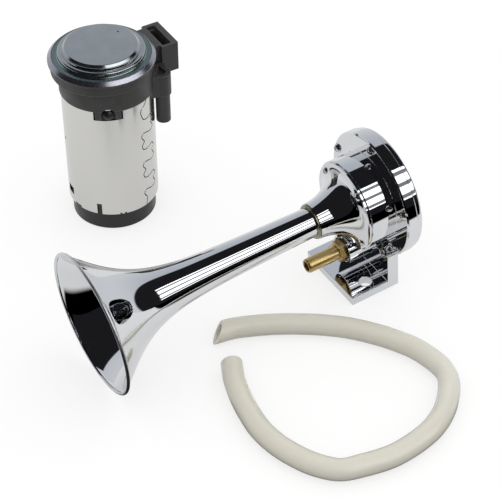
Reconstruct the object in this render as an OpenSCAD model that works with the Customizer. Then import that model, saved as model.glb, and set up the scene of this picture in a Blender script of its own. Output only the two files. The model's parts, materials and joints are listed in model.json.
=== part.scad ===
// Electric air horn: chromed trumpet, its compressor and a loose length of hose.
// Millimetres. +X runs along the trumpet from mouth to housing, +Z is up.
// The origin is the middle of the footprint of trumpet and compressor, on the floor.

/* [Trumpet] */
// Outer diameter of the mouth
mouth_d = 92.2; // [80:0.2:120]
// Thickness of the rolled lip at the mouth
lip_d = 2.2; // [1.6:0.1:3]
// Length over which the flare shrinks to a third
flare_len = 28; // [20:0.5:40]
// How straight the flare is, 1 is exponential
flare_power = 1.3; // [1:0.01:1.5]
// Length from the mouth to the neck ring
trumpet_len = 153.6; // [130:0.2:180]
// Outer diameter of the tube
tube_d = 19.2; // [16:0.1:20]
// How much the tube widens on the radius from the neck to the mouth, besides the flare
tube_taper = 3.5; // [0:0.1:5]
// Thickness of the trumpet's sheet
trumpet_wall = 0.9; // [0.6:0.1:1.2]
// Length of tube that goes into the front cover
spigot_len = 12; // [8:0.5:16]

/* [Neck ring and front cover] */
// Outer diameter of the neck ring
ring_d = 22.8; // [21:0.2:26]
// Thickness of the neck ring
ring_t = 1.6; // [1:0.1:2.5]
// Outer diameter of the front cover at the neck
cover_neck_d = 24; // [23:0.2:27]
// Outer diameter of the front cover at its rim
cover_d = 57.5; // [56:0.5:62]
// Length of the front cover
cover_len = 25.8; // [20:0.2:30]
// Width of the cylindrical rim of the front cover
cover_rim = 1.6; // [1.5:0.1:4]
// Radial width of the rim wall inside the front cover
cover_rim_wall = 3; // [2:0.1:4]
// Diameter of the circle of cover screws
cover_screw_pcd = 49.5; // [46:0.5:51]
// Thread diameter of the cover screws
cover_screw_d = 3; // [2.5:0.1:3.5]
// Head diameter of the cover screws
cover_head_d = 5.6; // [5:0.1:6]
// Height of the heads of the cover screws
cover_head_h = 1.9; // [1.4:0.1:2.4]
// Angle of the first cover screw from straight up
cover_screw_turn = 39; // [30:1:50]
// Number of cover screws
cover_screws = 4; // [3:1:6]

/* [Sound housing] */
// Diameter of the drum
drum_d = 59.5; // [56:0.5:64]
// Length of the drum in front of the flange
drum_len = 17.5; // [14:0.5:24]
// Thickness of the drum's front wall
drum_front = 3.5; // [2.5:0.1:5]
// Thickness of the drum's side wall
drum_wall = 3.5; // [2.5:0.1:5]
// Metal between the diaphragm's recess and the holes of the flange screws
flange_wall = 1.5; // [1:0.1:3]
// Distance from the circle of flange screws to the edge of the big flange
flange_rim = 4; // [3.6:0.1:8]
// Thickness of the big flange
flange_t = 8; // [7.5:0.1:12]
// Places in the pattern of flange screws
flange_places = 5; // [4:1:8]
// Angle of the first flange screw from straight up
flange_screw_turn = 3; // [0:1:12]
// Thread diameter of the flange screws
flange_screw_d = 3.9; // [3:0.1:4]
// Head diameter of the flange screws
flange_head_d = 6.6; // [5.5:0.1:6.8]
// Height of the heads of the flange screws
flange_head_h = 2.4; // [1.8:0.1:3]
// Outer diameter of the tube seat inside the drum
seat_d = 26; // [24:0.5:30]

/* [Air inlet] */
// Clear space between the cover's rim and the washer of the inlet
inlet_gap = 0.5; // [0.5:0.5:4]
// Outer diameter of the inlet boss
inlet_d = 19.6; // [18:0.2:22]
// Distance of the boss's face in front of the flange
inlet_len = 22; // [18:0.5:24]
// Diameter of the counterbore in the boss
inlet_sink_d = 16.6; // [16.5:0.1:18]
// Depth of the counterbore in the boss
inlet_sink = 2.5; // [1.5:0.1:4]
// Thread diameter of the hose barb
barb_thread_d = 9.6; // [8:0.1:10]
// Length of the hose barb's thread
barb_thread_len = 13; // [9:0.5:14]
// Outer diameter of the hose barb
barb_d = 9.5; // [8:0.1:10]
// Length of the hose barb in front of its hexagon
barb_len = 22.7; // [18:0.1:30]
// Bore of the hose barb
barb_bore_d = 6.4; // [4:0.1:7]
// Width across the hexagon's flats
hex_af = 13; // [12:0.5:14]
// Thickness of the hexagon
hex_t = 5.4; // [3.5:0.1:6]
// Diameter of the passage from the inlet to the chamber
passage_d = 4.2; // [3:0.1:5]
// Outer diameter of the washer under the hexagon
washer_d = 13.5; // [13:0.5:16]
// Thickness of the washer under the hexagon
washer_t = 1.5; // [1:0.1:2]

/* [Diaphragm and rear cover] */
// Diameter of the diaphragm
diaphragm_d = 68; // [60:0.5:76]
// Thickness of the diaphragm
diaphragm_t = 0.4; // [0.3:0.05:0.6]
// Travel of the diaphragm away from its nozzle
diaphragm_travel = 0.4; // [0.2:0.05:0.6]
// Clearance on each side of the diaphragm
diaphragm_gap = 0.3; // [0.25:0.01:0.4]
// Thickness of each diaphragm gasket
gasket_t = 0.8; // [0.6:0.1:1.2]
// Radial width of the diaphragm gaskets
gasket_w = 4.85; // [4:0.05:5.5]
// How far the rear cover stays inside the big flange
rear_set = 0.8; // [0:0.1:1.5]
// Thickness of the rear cover
rear_t = 4; // [3.8:0.1:6]
// Radius of the rear cover's outer edge
rear_edge = 2; // [1:0.1:3]
// Depth of the hollow inside the rear cover
rear_hollow = 1.2; // [0.8:0.1:1.6]

/* [Foot] */
// Height of the trumpet's axis above the sole of the foot
foot_h = 58.8; // [54:0.2:70]
// Width of the foot
foot_w = 53; // [46:0.5:60]
// Length of the foot's sole
foot_len = 35; // [30:0.2:40]
// Thickness of the sole
sole_t = 5.7; // [4:0.1:7]
// Thickness of the upright plate
upright_t = 7.8; // [6:0.1:9]
// Distance of the upright's rear face behind the flange's front face
upright_set = 3; // [2:0.1:8]
// Diameter of the mounting holes
foot_hole_d = 8.5; // [6:0.1:9]
// Distance between the mounting holes
foot_hole_gap = 36; // [28:0.5:38]
// Distance of the holes from the front edge
foot_hole_set = 15.4; // [12:0.1:16]

/* [Compressor's place] */
// Distance of the compressor from the trumpet's mouth, along the trumpet
pump_dx = 88.4; // [75:0.2:110]
// Distance of the compressor from the trumpet's axis, across it
pump_dy = 142.4; // [130:0.2:160]

/* [Motor] */
// Diameter of the can
can_d = 60; // [58:0.5:62]
// Thickness of the can's sheet
can_wall = 1.4; // [1:0.1:1.8]
// Height of the can's lower edge above the floor
can_low = 14.4; // [10:0.2:16]
// Height of the can's upper edge above the floor
can_high = 105.4; // [100:0.1:120]
// Diameter of the end cap below the can
cap_d = 55.8; // [54:0.1:57]
// Thickness of the end cap's bottom
cap_floor = 4; // [3:0.1:5]
// Height of the end cap's plug inside the can
cap_plug = 9.6; // [9:0.1:14]
// Diameter of the armature's shaft
shaft_d = 6; // [5:0.1:7]
// Diameter of the armature's core
core_d = 43; // [38:0.5:44]
// Length of the armature's core
core_len = 36; // [30:0.5:40]
// Height of the core's lower end
core_low = 43; // [42:0.5:46]
// Slots in the core
core_slots = 12; // [8:1:14]
// Width of a slot
slot_w = 3.2; // [2.4:0.1:3.4]
// Depth of a slot
slot_deep = 9; // [7:0.5:10]
// Height of the winding at each end of the core
winding_h = 6.5; // [5:0.1:7]
// Thickness of the magnets
magnet_t = 5.6; // [4:0.1:6]
// Length of the magnets
magnet_len = 46; // [38:1:48]
// Angle that each magnet covers
magnet_arc = 130; // [100:5:140]
// Diameter of the commutator
commutator_d = 18; // [16:0.5:20]
// Length of the commutator
commutator_len = 9.4; // [9:0.1:10]
// Width of a brush
brush_w = 5; // [4:0.1:6]
// Height of a brush
brush_h = 6; // [5:0.1:6.2]
// Length of a brush
brush_len = 8; // [7:0.1:8.5]
// Travel of a brush in its box
brush_travel = 2.5; // [1:0.1:3]
// Thickness of the brush card
card_t = 1.6; // [1.2:0.1:2]
// Wall of a brush box
box_wall = 1; // [0.8:0.1:1.2]
// Width of a terminal blade
blade_w = 6.3; // [4.8:0.1:6.3]
// Thickness of a terminal blade
blade_t = 0.8; // [0.6:0.1:1]
// How far a terminal stands out of the end cap
blade_out = 9; // [7:0.5:10]

/* [Pump] */
// Sideways offset of the pump's bore from the shaft
pump_offset = 2; // [2:0.05:3]
// Direction of that offset
pump_offset_turn = 149; // [140:1:160]
// Diameter of the pump's bore
bore_d = 40; // [38:0.5:41]
// Outer diameter of the pump ring
pump_ring_d = 52; // [50:0.5:54]
// Height of the pump ring
pump_ring_h = 10.8; // [9:0.1:12]
// Thickness of the lower and upper plates
plate_t = 1.2; // [0.8:0.1:1.6]
// Running gap round the rotor
rotor_gap = 0.1; // [0.08:0.01:0.15]
// Vanes in the rotor
vanes = 4; // [3:1:5]
// Thickness of a vane
vane_t = 2.4; // [1.8:0.1:3]
// Length of a vane
vane_len = 9; // [7:0.1:10]
// Outer diameter of each shaft bush
bush_d = 11; // [9:0.5:12]
// Radial clearance between shaft and bush
bush_gap = 0.04; // [0.02:0.01:0.08]

/* [Pump head] */
// Thickness of the collar round the can
collar_t = 0.8; // [0.6:0.1:2]
// Height of the collar's lower edge above the floor
collar_low = 98.8; // [95:0.1:100]
// Diameter of the bevelled flange
head_d = 69.2; // [68:0.2:74]
// Height of the flange's lower edge above the floor
head_flange_low = 119.2; // [118.5:0.1:121]
// Height of the flange
head_flange_h = 4.5; // [4:0.1:8]
// Width of the bevel
head_bevel = 2.4; // [1:0.1:3]
// Diameter of the step below the flange
head_step_d = 66.4; // [66:0.2:68]
// Height of the step's lower edge above the floor
head_step_low = 113; // [108:0.5:117]
// Thickness of the head's floor
head_floor = 6; // [4:0.5:8]
// Length of the plug inside the can
plug_len = 14; // [12:0.5:16]
// Radial thickness of the plug
plug_wall = 10.5; // [10:0.5:14]
// Outer diameter of the outlet nipple
nipple_d = 9.6; // [8:0.1:10]
// Bore of the outlet nipple
nipple_bore_d = 5; // [4:0.1:6]
// Height of the nipple's open end
nipple_low = 70; // [60:0.5:78]
// Distance of the nipple's axis from the can's axis
nipple_r = 35.6; // [35.4:0.1:39]
// Direction of the nipple
nipple_turn = -28.2; // [-34:0.1:-22]
// Height of the web's lower edge above the floor
web_low = 91.5; // [86:0.5:94]
// Height of the web's upper edge above the floor
web_high = 107; // [106:0.5:110]
// Distance of the socket's outer face from the can's axis
socket_x = 48.9; // [47:0.1:53]
// Radial length of the socket
socket_len = 11.9; // [11:0.1:13]
// Width of the socket
socket_w = 27.4; // [22:0.1:28]
// Sideways place of the socket's middle
socket_y = 6.3; // [4:0.1:7]
// Height of the socket
socket_h = 20.9; // [19:0.1:26]
// Height of the socket's upper edge above the floor
socket_high = 118.8; // [116:0.1:119]
// Depth of the pocket in the socket
pocket_deep = 16; // [12:0.5:18]
// Diameter of the arch under the collar
arch_d = 10; // [8:0.1:10]
// Width of the tab under the collar
tab_w = 16.4; // [14:0.1:18]
// Height of the tab under the collar
tab_h = 5.8; // [5:0.1:8]
// Height of the collar's lower edge above the pin's axis
pin_drop = 2.6; // [2:0.1:4.4]
// Direction of the tab and its pin
pin_turn = 244; // [235:1:250]
// Head diameter of the locking pin
pin_head_d = 7.2; // [6:0.1:7.6]
// Shank diameter of the locking pin
pin_d = 5; // [4:0.1:5.4]

/* [Top cover] */
// Diameter of the cover's brim
lid_brim_d = 63.6; // [62:0.2:64]
// Diameter of the raised disc at its foot
lid_d = 56.4; // [56:0.2:59]
// Height of the plateau above the brim
lid_h = 6.3; // [5:0.1:8]
// Thickness of the cover's sheet
lid_wall = 1; // [0.8:0.1:1.2]
// Diameter of the plateau
lid_plateau_d = 46.8; // [44:0.5:50]
// Height of the disc's shoulder above the brim
lid_shoulder = 3.2; // [2.6:0.1:4]
// Diameter of the air hole
lid_hole_d = 1.2; // [0.8:0.1:2]

/* [Hose] */
// Outer diameter of the hose
hose_d = 13.5; // [11:0.5:15]

/* [Hidden] */

$fn = 96;
// Overlap that joins solids, and overshoot of cuts.
join = 0.5;
// Radial fit of a pressed or seated piece.
fit = 0.05;
// Clearance of a screw in its plain hole.
screw_gap = 0.15;
flare_steps = 26;
curve_steps = 10;
dome_steps = 6;

// Trumpet, along its own axis from the mouth plane.
mouth_r = mouth_d / 2;
lip_r = lip_d / 2;
tube_r = tube_d / 2;
ring_x = trumpet_len;
cover_x = ring_x + ring_t;
body_x = cover_x + cover_len;
flange_x = body_x + drum_len;
back_x = flange_x + flange_t;
end_x = back_x + rear_t;
spigot_end = cover_x + spigot_len;
foot_front = flange_x + upright_set - foot_len;
// Gap round the rim of the diaphragm.
rim_gap = 0.4;
recess_r = diaphragm_d / 2 + rim_gap;
gasket_r = recess_r - fit;
gasket_bore_r = gasket_r - gasket_w;
flange_screw_pcd = 2 * (recess_r + flange_wall + screw_gap) + flange_screw_d;
flange_d = flange_screw_pcd + 2 * flange_rim;
inlet_drop = (cover_d + washer_d) / 2 + inlet_gap;
rear_d = flange_d - 2 * rear_set;
recess_deep = 2 * gasket_t + 2 * diaphragm_gap + diaphragm_t + diaphragm_travel;
recess_x = back_x - recess_deep;
diaphragm_x = recess_x + gasket_t + diaphragm_gap;
barb_x = flange_x - inlet_len + inlet_sink;
hex_x = barb_x - washer_t - hex_t;
inlet_end = barb_x + barb_thread_len + join;
// Small edges of the flange in front and behind.
flange_edge = 1;
flange_rear_edge = 0.6;
// Metal left behind the flange screws, and between the tube seat and the recess.
screw_floor = 1;
seat_back = 2;

// The trumpet rests on its lip and on the front edge of the foot.
rest_a = foot_front - lip_r;
rest_b = foot_h - mouth_r + lip_r;
pitch = atan2(rest_b, rest_a) - asin(lip_r / sqrt(rest_a * rest_a + rest_b * rest_b));
axis_h = lip_r * (1 - sin(pitch)) + (mouth_r - lip_r) * cos(pitch);

// Footprint, whose middle is the origin.
low_x = lip_r * (cos(pitch) - 1) - (mouth_r - lip_r) * sin(pitch);
high_x = (end_x - rear_edge) * cos(pitch) + (rear_d / 2 - rear_edge) * sin(pitch) + rear_edge;
low_y = -mouth_r;
offset_x = pump_offset * cos(pump_offset_turn);
offset_y = pump_offset * sin(pump_offset_turn);
high_y = pump_dy + offset_y + head_d / 2;
horn_x = -(low_x + high_x) / 2;
horn_y = -(low_y + high_y) / 2;
pump_x = horn_x + pump_dx;
pump_y = horn_y + pump_dy;

// Motor and pump, from the floor up.
can_r = can_d / 2;
can_inner = can_r - can_wall;
plug_r = can_inner - fit;
shaft_r = shaft_d / 2;
bush_r = bush_d / 2;
bush_h = 9;
// Thickness of the hubs round the bushes, and of the end cap's side.
hub_wall = 3;
cap_wall = 3.5;
// Height of the lower bush, and of the shaft's end, above the floors below them.
bush_seat = 1;
shaft_seat = 0.5;
cap_top = can_low + cap_plug;
// Thickness under a brush, and the gap all round it.
box_floor = 0.7;
brush_gap = 0.3;
brush_low = cap_top + card_t + box_floor + brush_gap;
commutator_low = brush_low - (commutator_len - brush_h) / 2;
core_high = core_low + core_len;
magnet_low = core_low + core_len / 2 - magnet_len / 2;
// How far the head's floor begins below the can's upper edge.
floor_drop = 2;
floor_low = can_high - floor_drop;
plug_low = can_high - plug_len;
chamber_low = floor_low + head_floor;
ring_low = chamber_low + plate_t;
ring_high = ring_low + pump_ring_h;
lid_low = ring_high + plate_t;
head_high = head_flange_low + head_flange_h;
rotor_r = bore_d / 2 - pump_offset - rotor_gap;
collar_r = can_r + collar_t;
head_r = head_d / 2;
brush_in = commutator_d / 2 + brush_gap;
brush_out = brush_in + brush_len;
// Length of a brush spring when it is pressed solid.
spring_solid = 3.5;
spring_end = brush_out + brush_travel + spring_solid;
// Air duct from the pump chamber to the nipple, through a key in the can's upper edge.
duct_r = 1.8;
riser_r = 1.5;
duct_z = web_low + 9;
duct_x = plug_r - 3;
key_w = 8;
key_low = web_low + 6.5;
// Ring-shaped hollow below the lower plate, where the duct begins.
plenum_deep = 2;
plenum_in = bush_r + 4;
plenum_out = rotor_r + 2;
port_r = 1;
port_at = (rotor_r + bore_d / 2) / 2;
lid_top = lid_low + lid_wall + lid_h;
hose_sides = 10;

// Windows of the can: direction, lower edge, upper edge and width.
can_windows = [
    [224.7, can_low - join, can_low + 8.4, 3.4],
    [191, can_low - join, can_low + 1.5, 6],
    [175, can_low + 6, can_low + 11.6, 7.4],
    [nipple_turn, key_low - 1, can_high + join, key_w + 2 * screw_gap]];
// Direction, height above the can's lower edge, and radius of its small hole.
can_hole = [169, 49.4, 1];

// Turns a profile of [radius, position] about the trumpet's axis.
module spin() {
    rotate([0, 90, 0]) rotate_extrude() children();
}

// A bar along the trumpet's axis, from one position to another.
module bar(from, to, r) {
    translate([from, 0, 0]) rotate([0, 90, 0]) cylinder(h = to - from, r = r);
}

// A washer along the trumpet's axis.
module washer(from, to, inner, outer) {
    difference() {
        bar(from, to, outer);
        bar(from - join, to + join, inner);
    }
}

// A tube along Z.
module tube(low, high, inner, outer) {
    translate([0, 0, low]) difference() {
        cylinder(h = high - low, r = outer);
        translate([0, 0, -join]) cylinder(h = high - low + 2 * join, r = inner);
    }
}

// Places a piece of the trumpet in the whole.
module on_horn() {
    translate([horn_x, horn_y, axis_h]) rotate([0, -pitch, 0]) children();
}

// Places a piece of the compressor in the whole.
module on_pump() {
    translate([pump_x, pump_y, 0]) children();
}

// Moves to the axis of the pump's bore.
module at_bore() {
    translate([offset_x, offset_y, 0]) children();
}

// A cross-shaped recess in a screw head, seen from the front.
module cross_recess(size, deep) {
    for (turn = [0, 90]) {
        rotate([turn, 0, 0]) translate([-join, -size / 10, -size / 2])
            cube([deep + join, size / 5, size]);
    }
}

// Half the outline of a dome, as [radius, position], from its top at -height to its foot at 0.
function dome(base_r, height) = let (ball_r = (base_r * base_r + height * height) / (2 * height),
    spread = asin(base_r / ball_r))
    [for (i = [0 : dome_steps]) let (a = i * spread / dome_steps)
        [ball_r * sin(a), ball_r * (1 - cos(a)) - height]];

// A domed screw whose head lies in front of the plane at x = 0.
module dome_screw(head_d, head_h, thread_d, length) {
    difference() {
        spin() polygon(concat(dome(head_d / 2, head_h),
            [[thread_d / 2, 0], [thread_d / 2, length], [0, length]]));
        translate([-head_h, 0, 0]) cross_recess(head_d * 0.6, head_h * 0.5);
    }
}

// Places copies at even angles from straight up, on a circle round the axis.
module round_axis(pcd, turns) {
    for (turn = turns) {
        rotate([turn, 0, 0]) translate([0, 0, pcd / 2]) children();
    }
}

flange_turns = [for (i = [0 : flange_places - 1])
    let (turn = flange_screw_turn + i * 360 / flange_places)
    if (abs(turn - 180) > 25) turn];
cover_turns = [for (i = [0 : cover_screws - 1]) cover_screw_turn + i * 360 / cover_screws];

// Outer radius of the trumpet at a distance from its mouth, down to the tube's at the neck ring.
function flare_fall(x) = exp(-pow(x / flare_len, flare_power));
function flare(x) = tube_r + tube_taper * (1 - x / trumpet_len)
    + (mouth_r - lip_r - tube_r - tube_taper)
    * (flare_fall(x) - flare_fall(trumpet_len) * x / trumpet_len);
flare_x = [for (i = [0 : flare_steps]) trumpet_len * pow(i / flare_steps, 1.8)];

module horn_bell() {
    color("gainsboro") on_horn() spin() {
        polygon(concat(
            [for (x = flare_x) [flare(x), x]],
            [[tube_r, spigot_end], [tube_r - trumpet_wall, spigot_end]],
            [for (i = [flare_steps : -1 : 0]) [flare(flare_x[i]) - trumpet_wall, flare_x[i]]]));
        translate([mouth_r - lip_r, lip_r]) circle(r = lip_r, $fn = 32);
    }
}

module neck_ring() {
    color("darkkhaki") on_horn() washer(ring_x, cover_x, tube_r + fit, ring_d / 2);
}

cover_bore = tube_r + fit;
cover_curve = cover_len - cover_rim;
// Depth by which the screw heads are sunk, and least thickness inside the rim.
cover_sink = 0.4;
function cover_out(t) = [cover_neck_d / 2 + (cover_d - cover_neck_d) / 2 * (1 - cos(t)),
    cover_x + cover_curve * sin(t)];
function cover_in(t) = [cover_bore + (cover_d / 2 - cover_rim_wall - cover_bore) * (1 - cos(t)),
    cover_x + (cover_len - cover_sink) * sin(t)];
cover_seat = cover_x + cover_curve * sin(acos(1 - (cover_screw_pcd - cover_neck_d)
    / (cover_d - cover_neck_d))) + cover_sink;

module front_cover() {
    color("gainsboro") on_horn() difference() {
        spin() polygon(concat(
            [for (i = [0 : curve_steps]) cover_out(i * 90 / curve_steps)],
            [[cover_d / 2, body_x], [cover_d / 2 - cover_rim_wall, body_x]],
            [for (i = [curve_steps : -1 : 0]) cover_in(i * 90 / curve_steps)]));
        round_axis(cover_screw_pcd, cover_turns) {
            bar(cover_seat - cover_head_h - 2 * join, cover_seat, cover_head_d / 2 + screw_gap * 2);
            bar(cover_seat - join, body_x + join, cover_screw_d / 2 + screw_gap);
        }
    }
}

module front_cover_screws() {
    color("silver") on_horn() round_axis(cover_screw_pcd, cover_turns)
        translate([cover_seat, 0, 0])
            dome_screw(cover_head_d, cover_head_h, cover_screw_d, body_x + drum_front - cover_seat);
}

module foot() {
    translate([foot_front, -foot_w / 2, -foot_h]) cube([foot_len, foot_w, sole_t]);
    translate([foot_front + foot_len - upright_t, -foot_w / 2, -foot_h])
        cube([upright_t, foot_w, foot_h + join - sqrt(pow(flange_d / 2, 2) - pow(foot_w / 2, 2))]);
    translate([foot_front + foot_len - upright_t, -foot_w / 4, -foot_h])
        cube([upright_t, foot_w / 2, foot_h + join - sqrt(pow(drum_d / 2, 2) - pow(foot_w / 4, 2))]);
}

// The boss of the air inlet, relieved where the rim of the front cover passes it.
module inlet_boss() {
    difference() {
        translate([0, 0, -inlet_drop]) bar(flange_x - inlet_len, back_x - recess_deep, inlet_d / 2);
        bar(flange_x - inlet_len - join, body_x + join, cover_d / 2 + screw_gap);
    }
}

module sound_housing() {
    boss_r = seat_d / 2;
    chamber_r = drum_d / 2 - drum_wall;
    color("gainsboro") on_horn() difference() {
        union() {
            difference() {
                union() {
                    bar(body_x, flange_x + join, drum_d / 2);
                    spin() polygon([[0, flange_x], [flange_d / 2 - flange_edge, flange_x],
                        [flange_d / 2, flange_x + flange_edge], [flange_d / 2, back_x - flange_rear_edge],
                        [flange_d / 2 - flange_rear_edge, back_x], [0, back_x]]);
                    foot();
                    inlet_boss();
                }
                bar(body_x + drum_front, back_x + join, chamber_r);
            }
            bar(body_x, recess_x - seat_back, boss_r);
        }
        bar(body_x - join, back_x, tube_r + fit);
        bar(recess_x, back_x + join, recess_r);
        round_axis(cover_screw_pcd, cover_turns)
            bar(body_x - join, body_x + drum_front + join, cover_screw_d / 2 + fit);
        round_axis(flange_screw_pcd, flange_turns) {
            bar(flange_x - join, back_x + join, flange_screw_d / 2 + screw_gap);
            bar(flange_x - upright_t, flange_x, flange_head_d / 2 + 2 * screw_gap);
        }
        translate([0, 0, -inlet_drop]) {
            bar(flange_x - inlet_len - join, barb_x, inlet_sink_d / 2);
            bar(barb_x - join, inlet_end, barb_thread_d / 2 + fit);
            bar(barb_x, inlet_end + passage_d, barb_bore_d / 2);
            translate([inlet_end + passage_d / 2, 0, 0])
                cylinder(h = inlet_drop - chamber_r + passage_d / 2, r = passage_d / 2);
        }
        for (side = [-1, 1]) {
            translate([foot_front + foot_hole_set, side * foot_hole_gap / 2, -foot_h - join])
                cylinder(h = sole_t + 2 * join, r = foot_hole_d / 2);
        }
    }
}

module throat_nozzle() {
    throat_r = tube_r - trumpet_wall;
    tip_x = diaphragm_x - diaphragm_gap;
    tip_r = throat_r - 1.7;
    tip_wall = 0.8;
    tip_bevel = 1.5;
    tip_len = 6;
    taper_len = 12;
    color("tan") on_horn() spin() polygon([
        [throat_r, spigot_end], [tube_r, spigot_end], [tube_r, tip_x - tip_bevel], [tip_r + tip_wall, tip_x],
        [tip_r, tip_x], [tip_r - tip_wall / 2, tip_x - tip_len], [throat_r, spigot_end + taper_len]]);
}

module gasket(from) {
    color("dimgray") on_horn() washer(from, from + gasket_t, gasket_bore_r, gasket_r);
}

module front_gasket() {
    gasket(recess_x);
}

module rear_gasket() {
    gasket(back_x - gasket_t);
}

module diaphragm() {
    color("lightsteelblue") on_horn() bar(diaphragm_x, diaphragm_x + diaphragm_t, diaphragm_d / 2);
}

module rear_cover() {
    edge_r = rear_d / 2 - rear_edge;
    color("gainsboro") on_horn() difference() {
        spin() {
            translate([0, back_x]) square([edge_r, rear_t]);
            translate([0, back_x]) square([rear_d / 2, rear_t - rear_edge]);
            translate([edge_r, end_x - rear_edge]) circle(r = rear_edge);
        }
        bar(back_x - join, back_x + rear_hollow, gasket_bore_r);
        round_axis(flange_screw_pcd, flange_turns)
            bar(back_x - join, end_x - screw_floor, flange_screw_d / 2 + fit);
    }
}

module flange_screws() {
    color("silver") on_horn() round_axis(flange_screw_pcd, flange_turns)
        translate([flange_x, 0, 0])
            dome_screw(flange_head_d, flange_head_h, flange_screw_d, end_x - screw_floor - flange_x);
}

module hose_barb() {
    color("goldenrod") on_horn() translate([0, 0, -inlet_drop]) difference() {
        union() {
            bar(hex_x - barb_len, hex_x + join, barb_d / 2);
            bar(hex_x, barb_x + barb_thread_len, barb_thread_d / 2);
            translate([hex_x, 0, 0]) rotate([0, 90, 0]) cylinder(h = hex_t, r = hex_af / sqrt(3), $fn = 6);
        }
        bar(hex_x - barb_len - join, barb_x + barb_thread_len + join, barb_bore_d / 2);
    }
}

module barb_washer() {
    color("firebrick") on_horn() translate([0, 0, -inlet_drop])
        washer(barb_x - washer_t, barb_x, barb_thread_d / 2 + fit, washer_d / 2);
}

// A box that cuts a window in the can, centred on a direction.
module can_window(turn, low, high, width) {
    rotate([0, 0, turn]) translate([can_inner - join, -width / 2, low])
        cube([can_wall + 2 * join, width, high - low]);
}

// A round bar that cuts a hole in the can.
module can_drill(turn, z, r) {
    rotate([0, 0, turn]) translate([can_inner - join, 0, z])
        rotate([0, 90, 0]) cylinder(h = can_wall + 2 * join, r = r, $fn = 32);
}

module motor_can() {
    color("silver") on_pump() difference() {
        tube(can_low, can_high, can_inner, can_r);
        for (w = can_windows) {
            can_window(w[0], w[1], w[2], w[3]);
        }
        can_drill(can_hole[0], can_low + can_hole[1], can_hole[2]);
        can_drill(pin_turn, pin_z, pin_d / 2 + screw_gap);
    }
}

blade_turns = [32, 60];
blade_z = 7.6;
blade_in = 5;
blade_eye_r = 0.9;

module at_blades() {
    for (turn = blade_turns) {
        rotate([0, 0, turn]) translate([plug_r - blade_in, 0, blade_z]) children();
    }
}

module end_cap() {
    cap_r = cap_d / 2;
    color([0.14, 0.14, 0.14]) on_pump() difference() {
        union() {
            rotate_extrude() polygon([[0, 0], [cap_r - 1, 0], [cap_r, 1], [cap_r, can_low], [0, can_low]]);
            translate([0, 0, can_low - join]) cylinder(h = cap_plug + join, r = plug_r);
        }
        tube(cap_floor, cap_top + join, bush_r + hub_wall, plug_r - cap_wall);
        translate([0, 0, cap_floor + bush_seat + bush_h]) cylinder(h = cap_top, r = bush_r + hub_wall + join);
        translate([0, 0, cap_floor + bush_seat]) cylinder(h = cap_top, r = bush_r);
        at_blades() translate([-join, -blade_w / 2 - fit, -blade_t / 2 - fit])
            cube([blade_in + blade_out, blade_w + 2 * fit, blade_t + 2 * fit]);
    }
}

module terminals() {
    color("gold") on_pump() at_blades() difference() {
        translate([0, -blade_w / 2, -blade_t / 2]) cube([blade_in + blade_out, blade_w, blade_t]);
        translate([blade_in + blade_out - blade_w / 2, 0, -blade_t])
            cylinder(h = 2 * blade_t, r = blade_eye_r, $fn = 24);
    }
}

module magnets() {
    magnet_out = can_inner - fit;
    color([0.3, 0.3, 0.32]) on_pump() for (turn = [90, 270]) {
        rotate([0, 0, turn - magnet_arc / 2]) translate([0, 0, magnet_low])
            rotate_extrude(angle = magnet_arc)
                translate([magnet_out - magnet_t, 0]) square([magnet_t, magnet_len]);
    }
}

module armature_shaft() {
    shaft_low = cap_floor + bush_seat + shaft_seat;
    color("lightgray") on_pump() translate([0, 0, shaft_low])
        cylinder(h = ring_high - shaft_seat - shaft_low, r = shaft_r);
}

module armature_core() {
    color("slategray") on_pump() difference() {
        tube(core_low, core_high, shaft_r + fit, core_d / 2);
        for (i = [0 : core_slots - 1]) {
            rotate([0, 0, i * 360 / core_slots])
                translate([core_d / 2 - slot_deep, -slot_w / 2, core_low - join])
                    cube([slot_deep + join, slot_w, core_len + 2 * join]);
        }
    }
}

module armature_windings() {
    bar_in = core_d / 2 - slot_deep + fit;
    bar_set = 2;
    head_set = 1.5;
    color("chocolate") on_pump() {
        for (low = [core_low - winding_h, core_high]) {
            tube(low, low + winding_h, 2 * shaft_r, core_d / 2 - head_set);
        }
        for (i = [0 : core_slots - 1]) {
            rotate([0, 0, i * 360 / core_slots]) translate([bar_in, -slot_w / 2 + fit, core_low - join])
                cube([slot_deep - bar_set, slot_w - 2 * fit, core_len + 2 * join]);
        }
    }
}

module commutator() {
    groove_deep = 0.8;
    groove_w = 0.5;
    color("peru") on_pump() difference() {
        tube(commutator_low, commutator_low + commutator_len, shaft_r + fit, commutator_d / 2);
        for (i = [0 : core_slots - 1]) {
            rotate([0, 0, (i + 0.5) * 360 / core_slots])
                translate([commutator_d / 2 - groove_deep, -groove_w / 2, commutator_low - join])
                    cube([groove_deep + join, groove_w, commutator_len + 2 * join]);
        }
    }
}

module lower_bush() {
    color("darkgoldenrod") on_pump()
        tube(cap_floor + bush_seat, cap_floor + bush_seat + bush_h, shaft_r + bush_gap, bush_r - fit);
}

module upper_bush() {
    color("darkgoldenrod") on_pump()
        tube(chamber_low - bush_h, chamber_low, shaft_r + bush_gap, bush_r - fit);
}

// A box that guides a brush and carries the end of its spring.
module brush_box(turn) {
    box_set = 2;
    inner_w = brush_w + 2 * brush_gap;
    inner_h = brush_h + 2 * brush_gap;
    length = spring_end - commutator_d / 2 - box_set;
    rotate([0, 0, turn]) translate([commutator_d / 2 + box_set, 0, cap_top + card_t]) difference() {
        translate([0, -inner_w / 2 - box_wall, -join])
            cube([length + box_wall, inner_w + 2 * box_wall, join + box_floor + inner_h + box_wall]);
        translate([-join, -inner_w / 2, box_floor]) cube([length + join, inner_w, inner_h]);
    }
}

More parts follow.
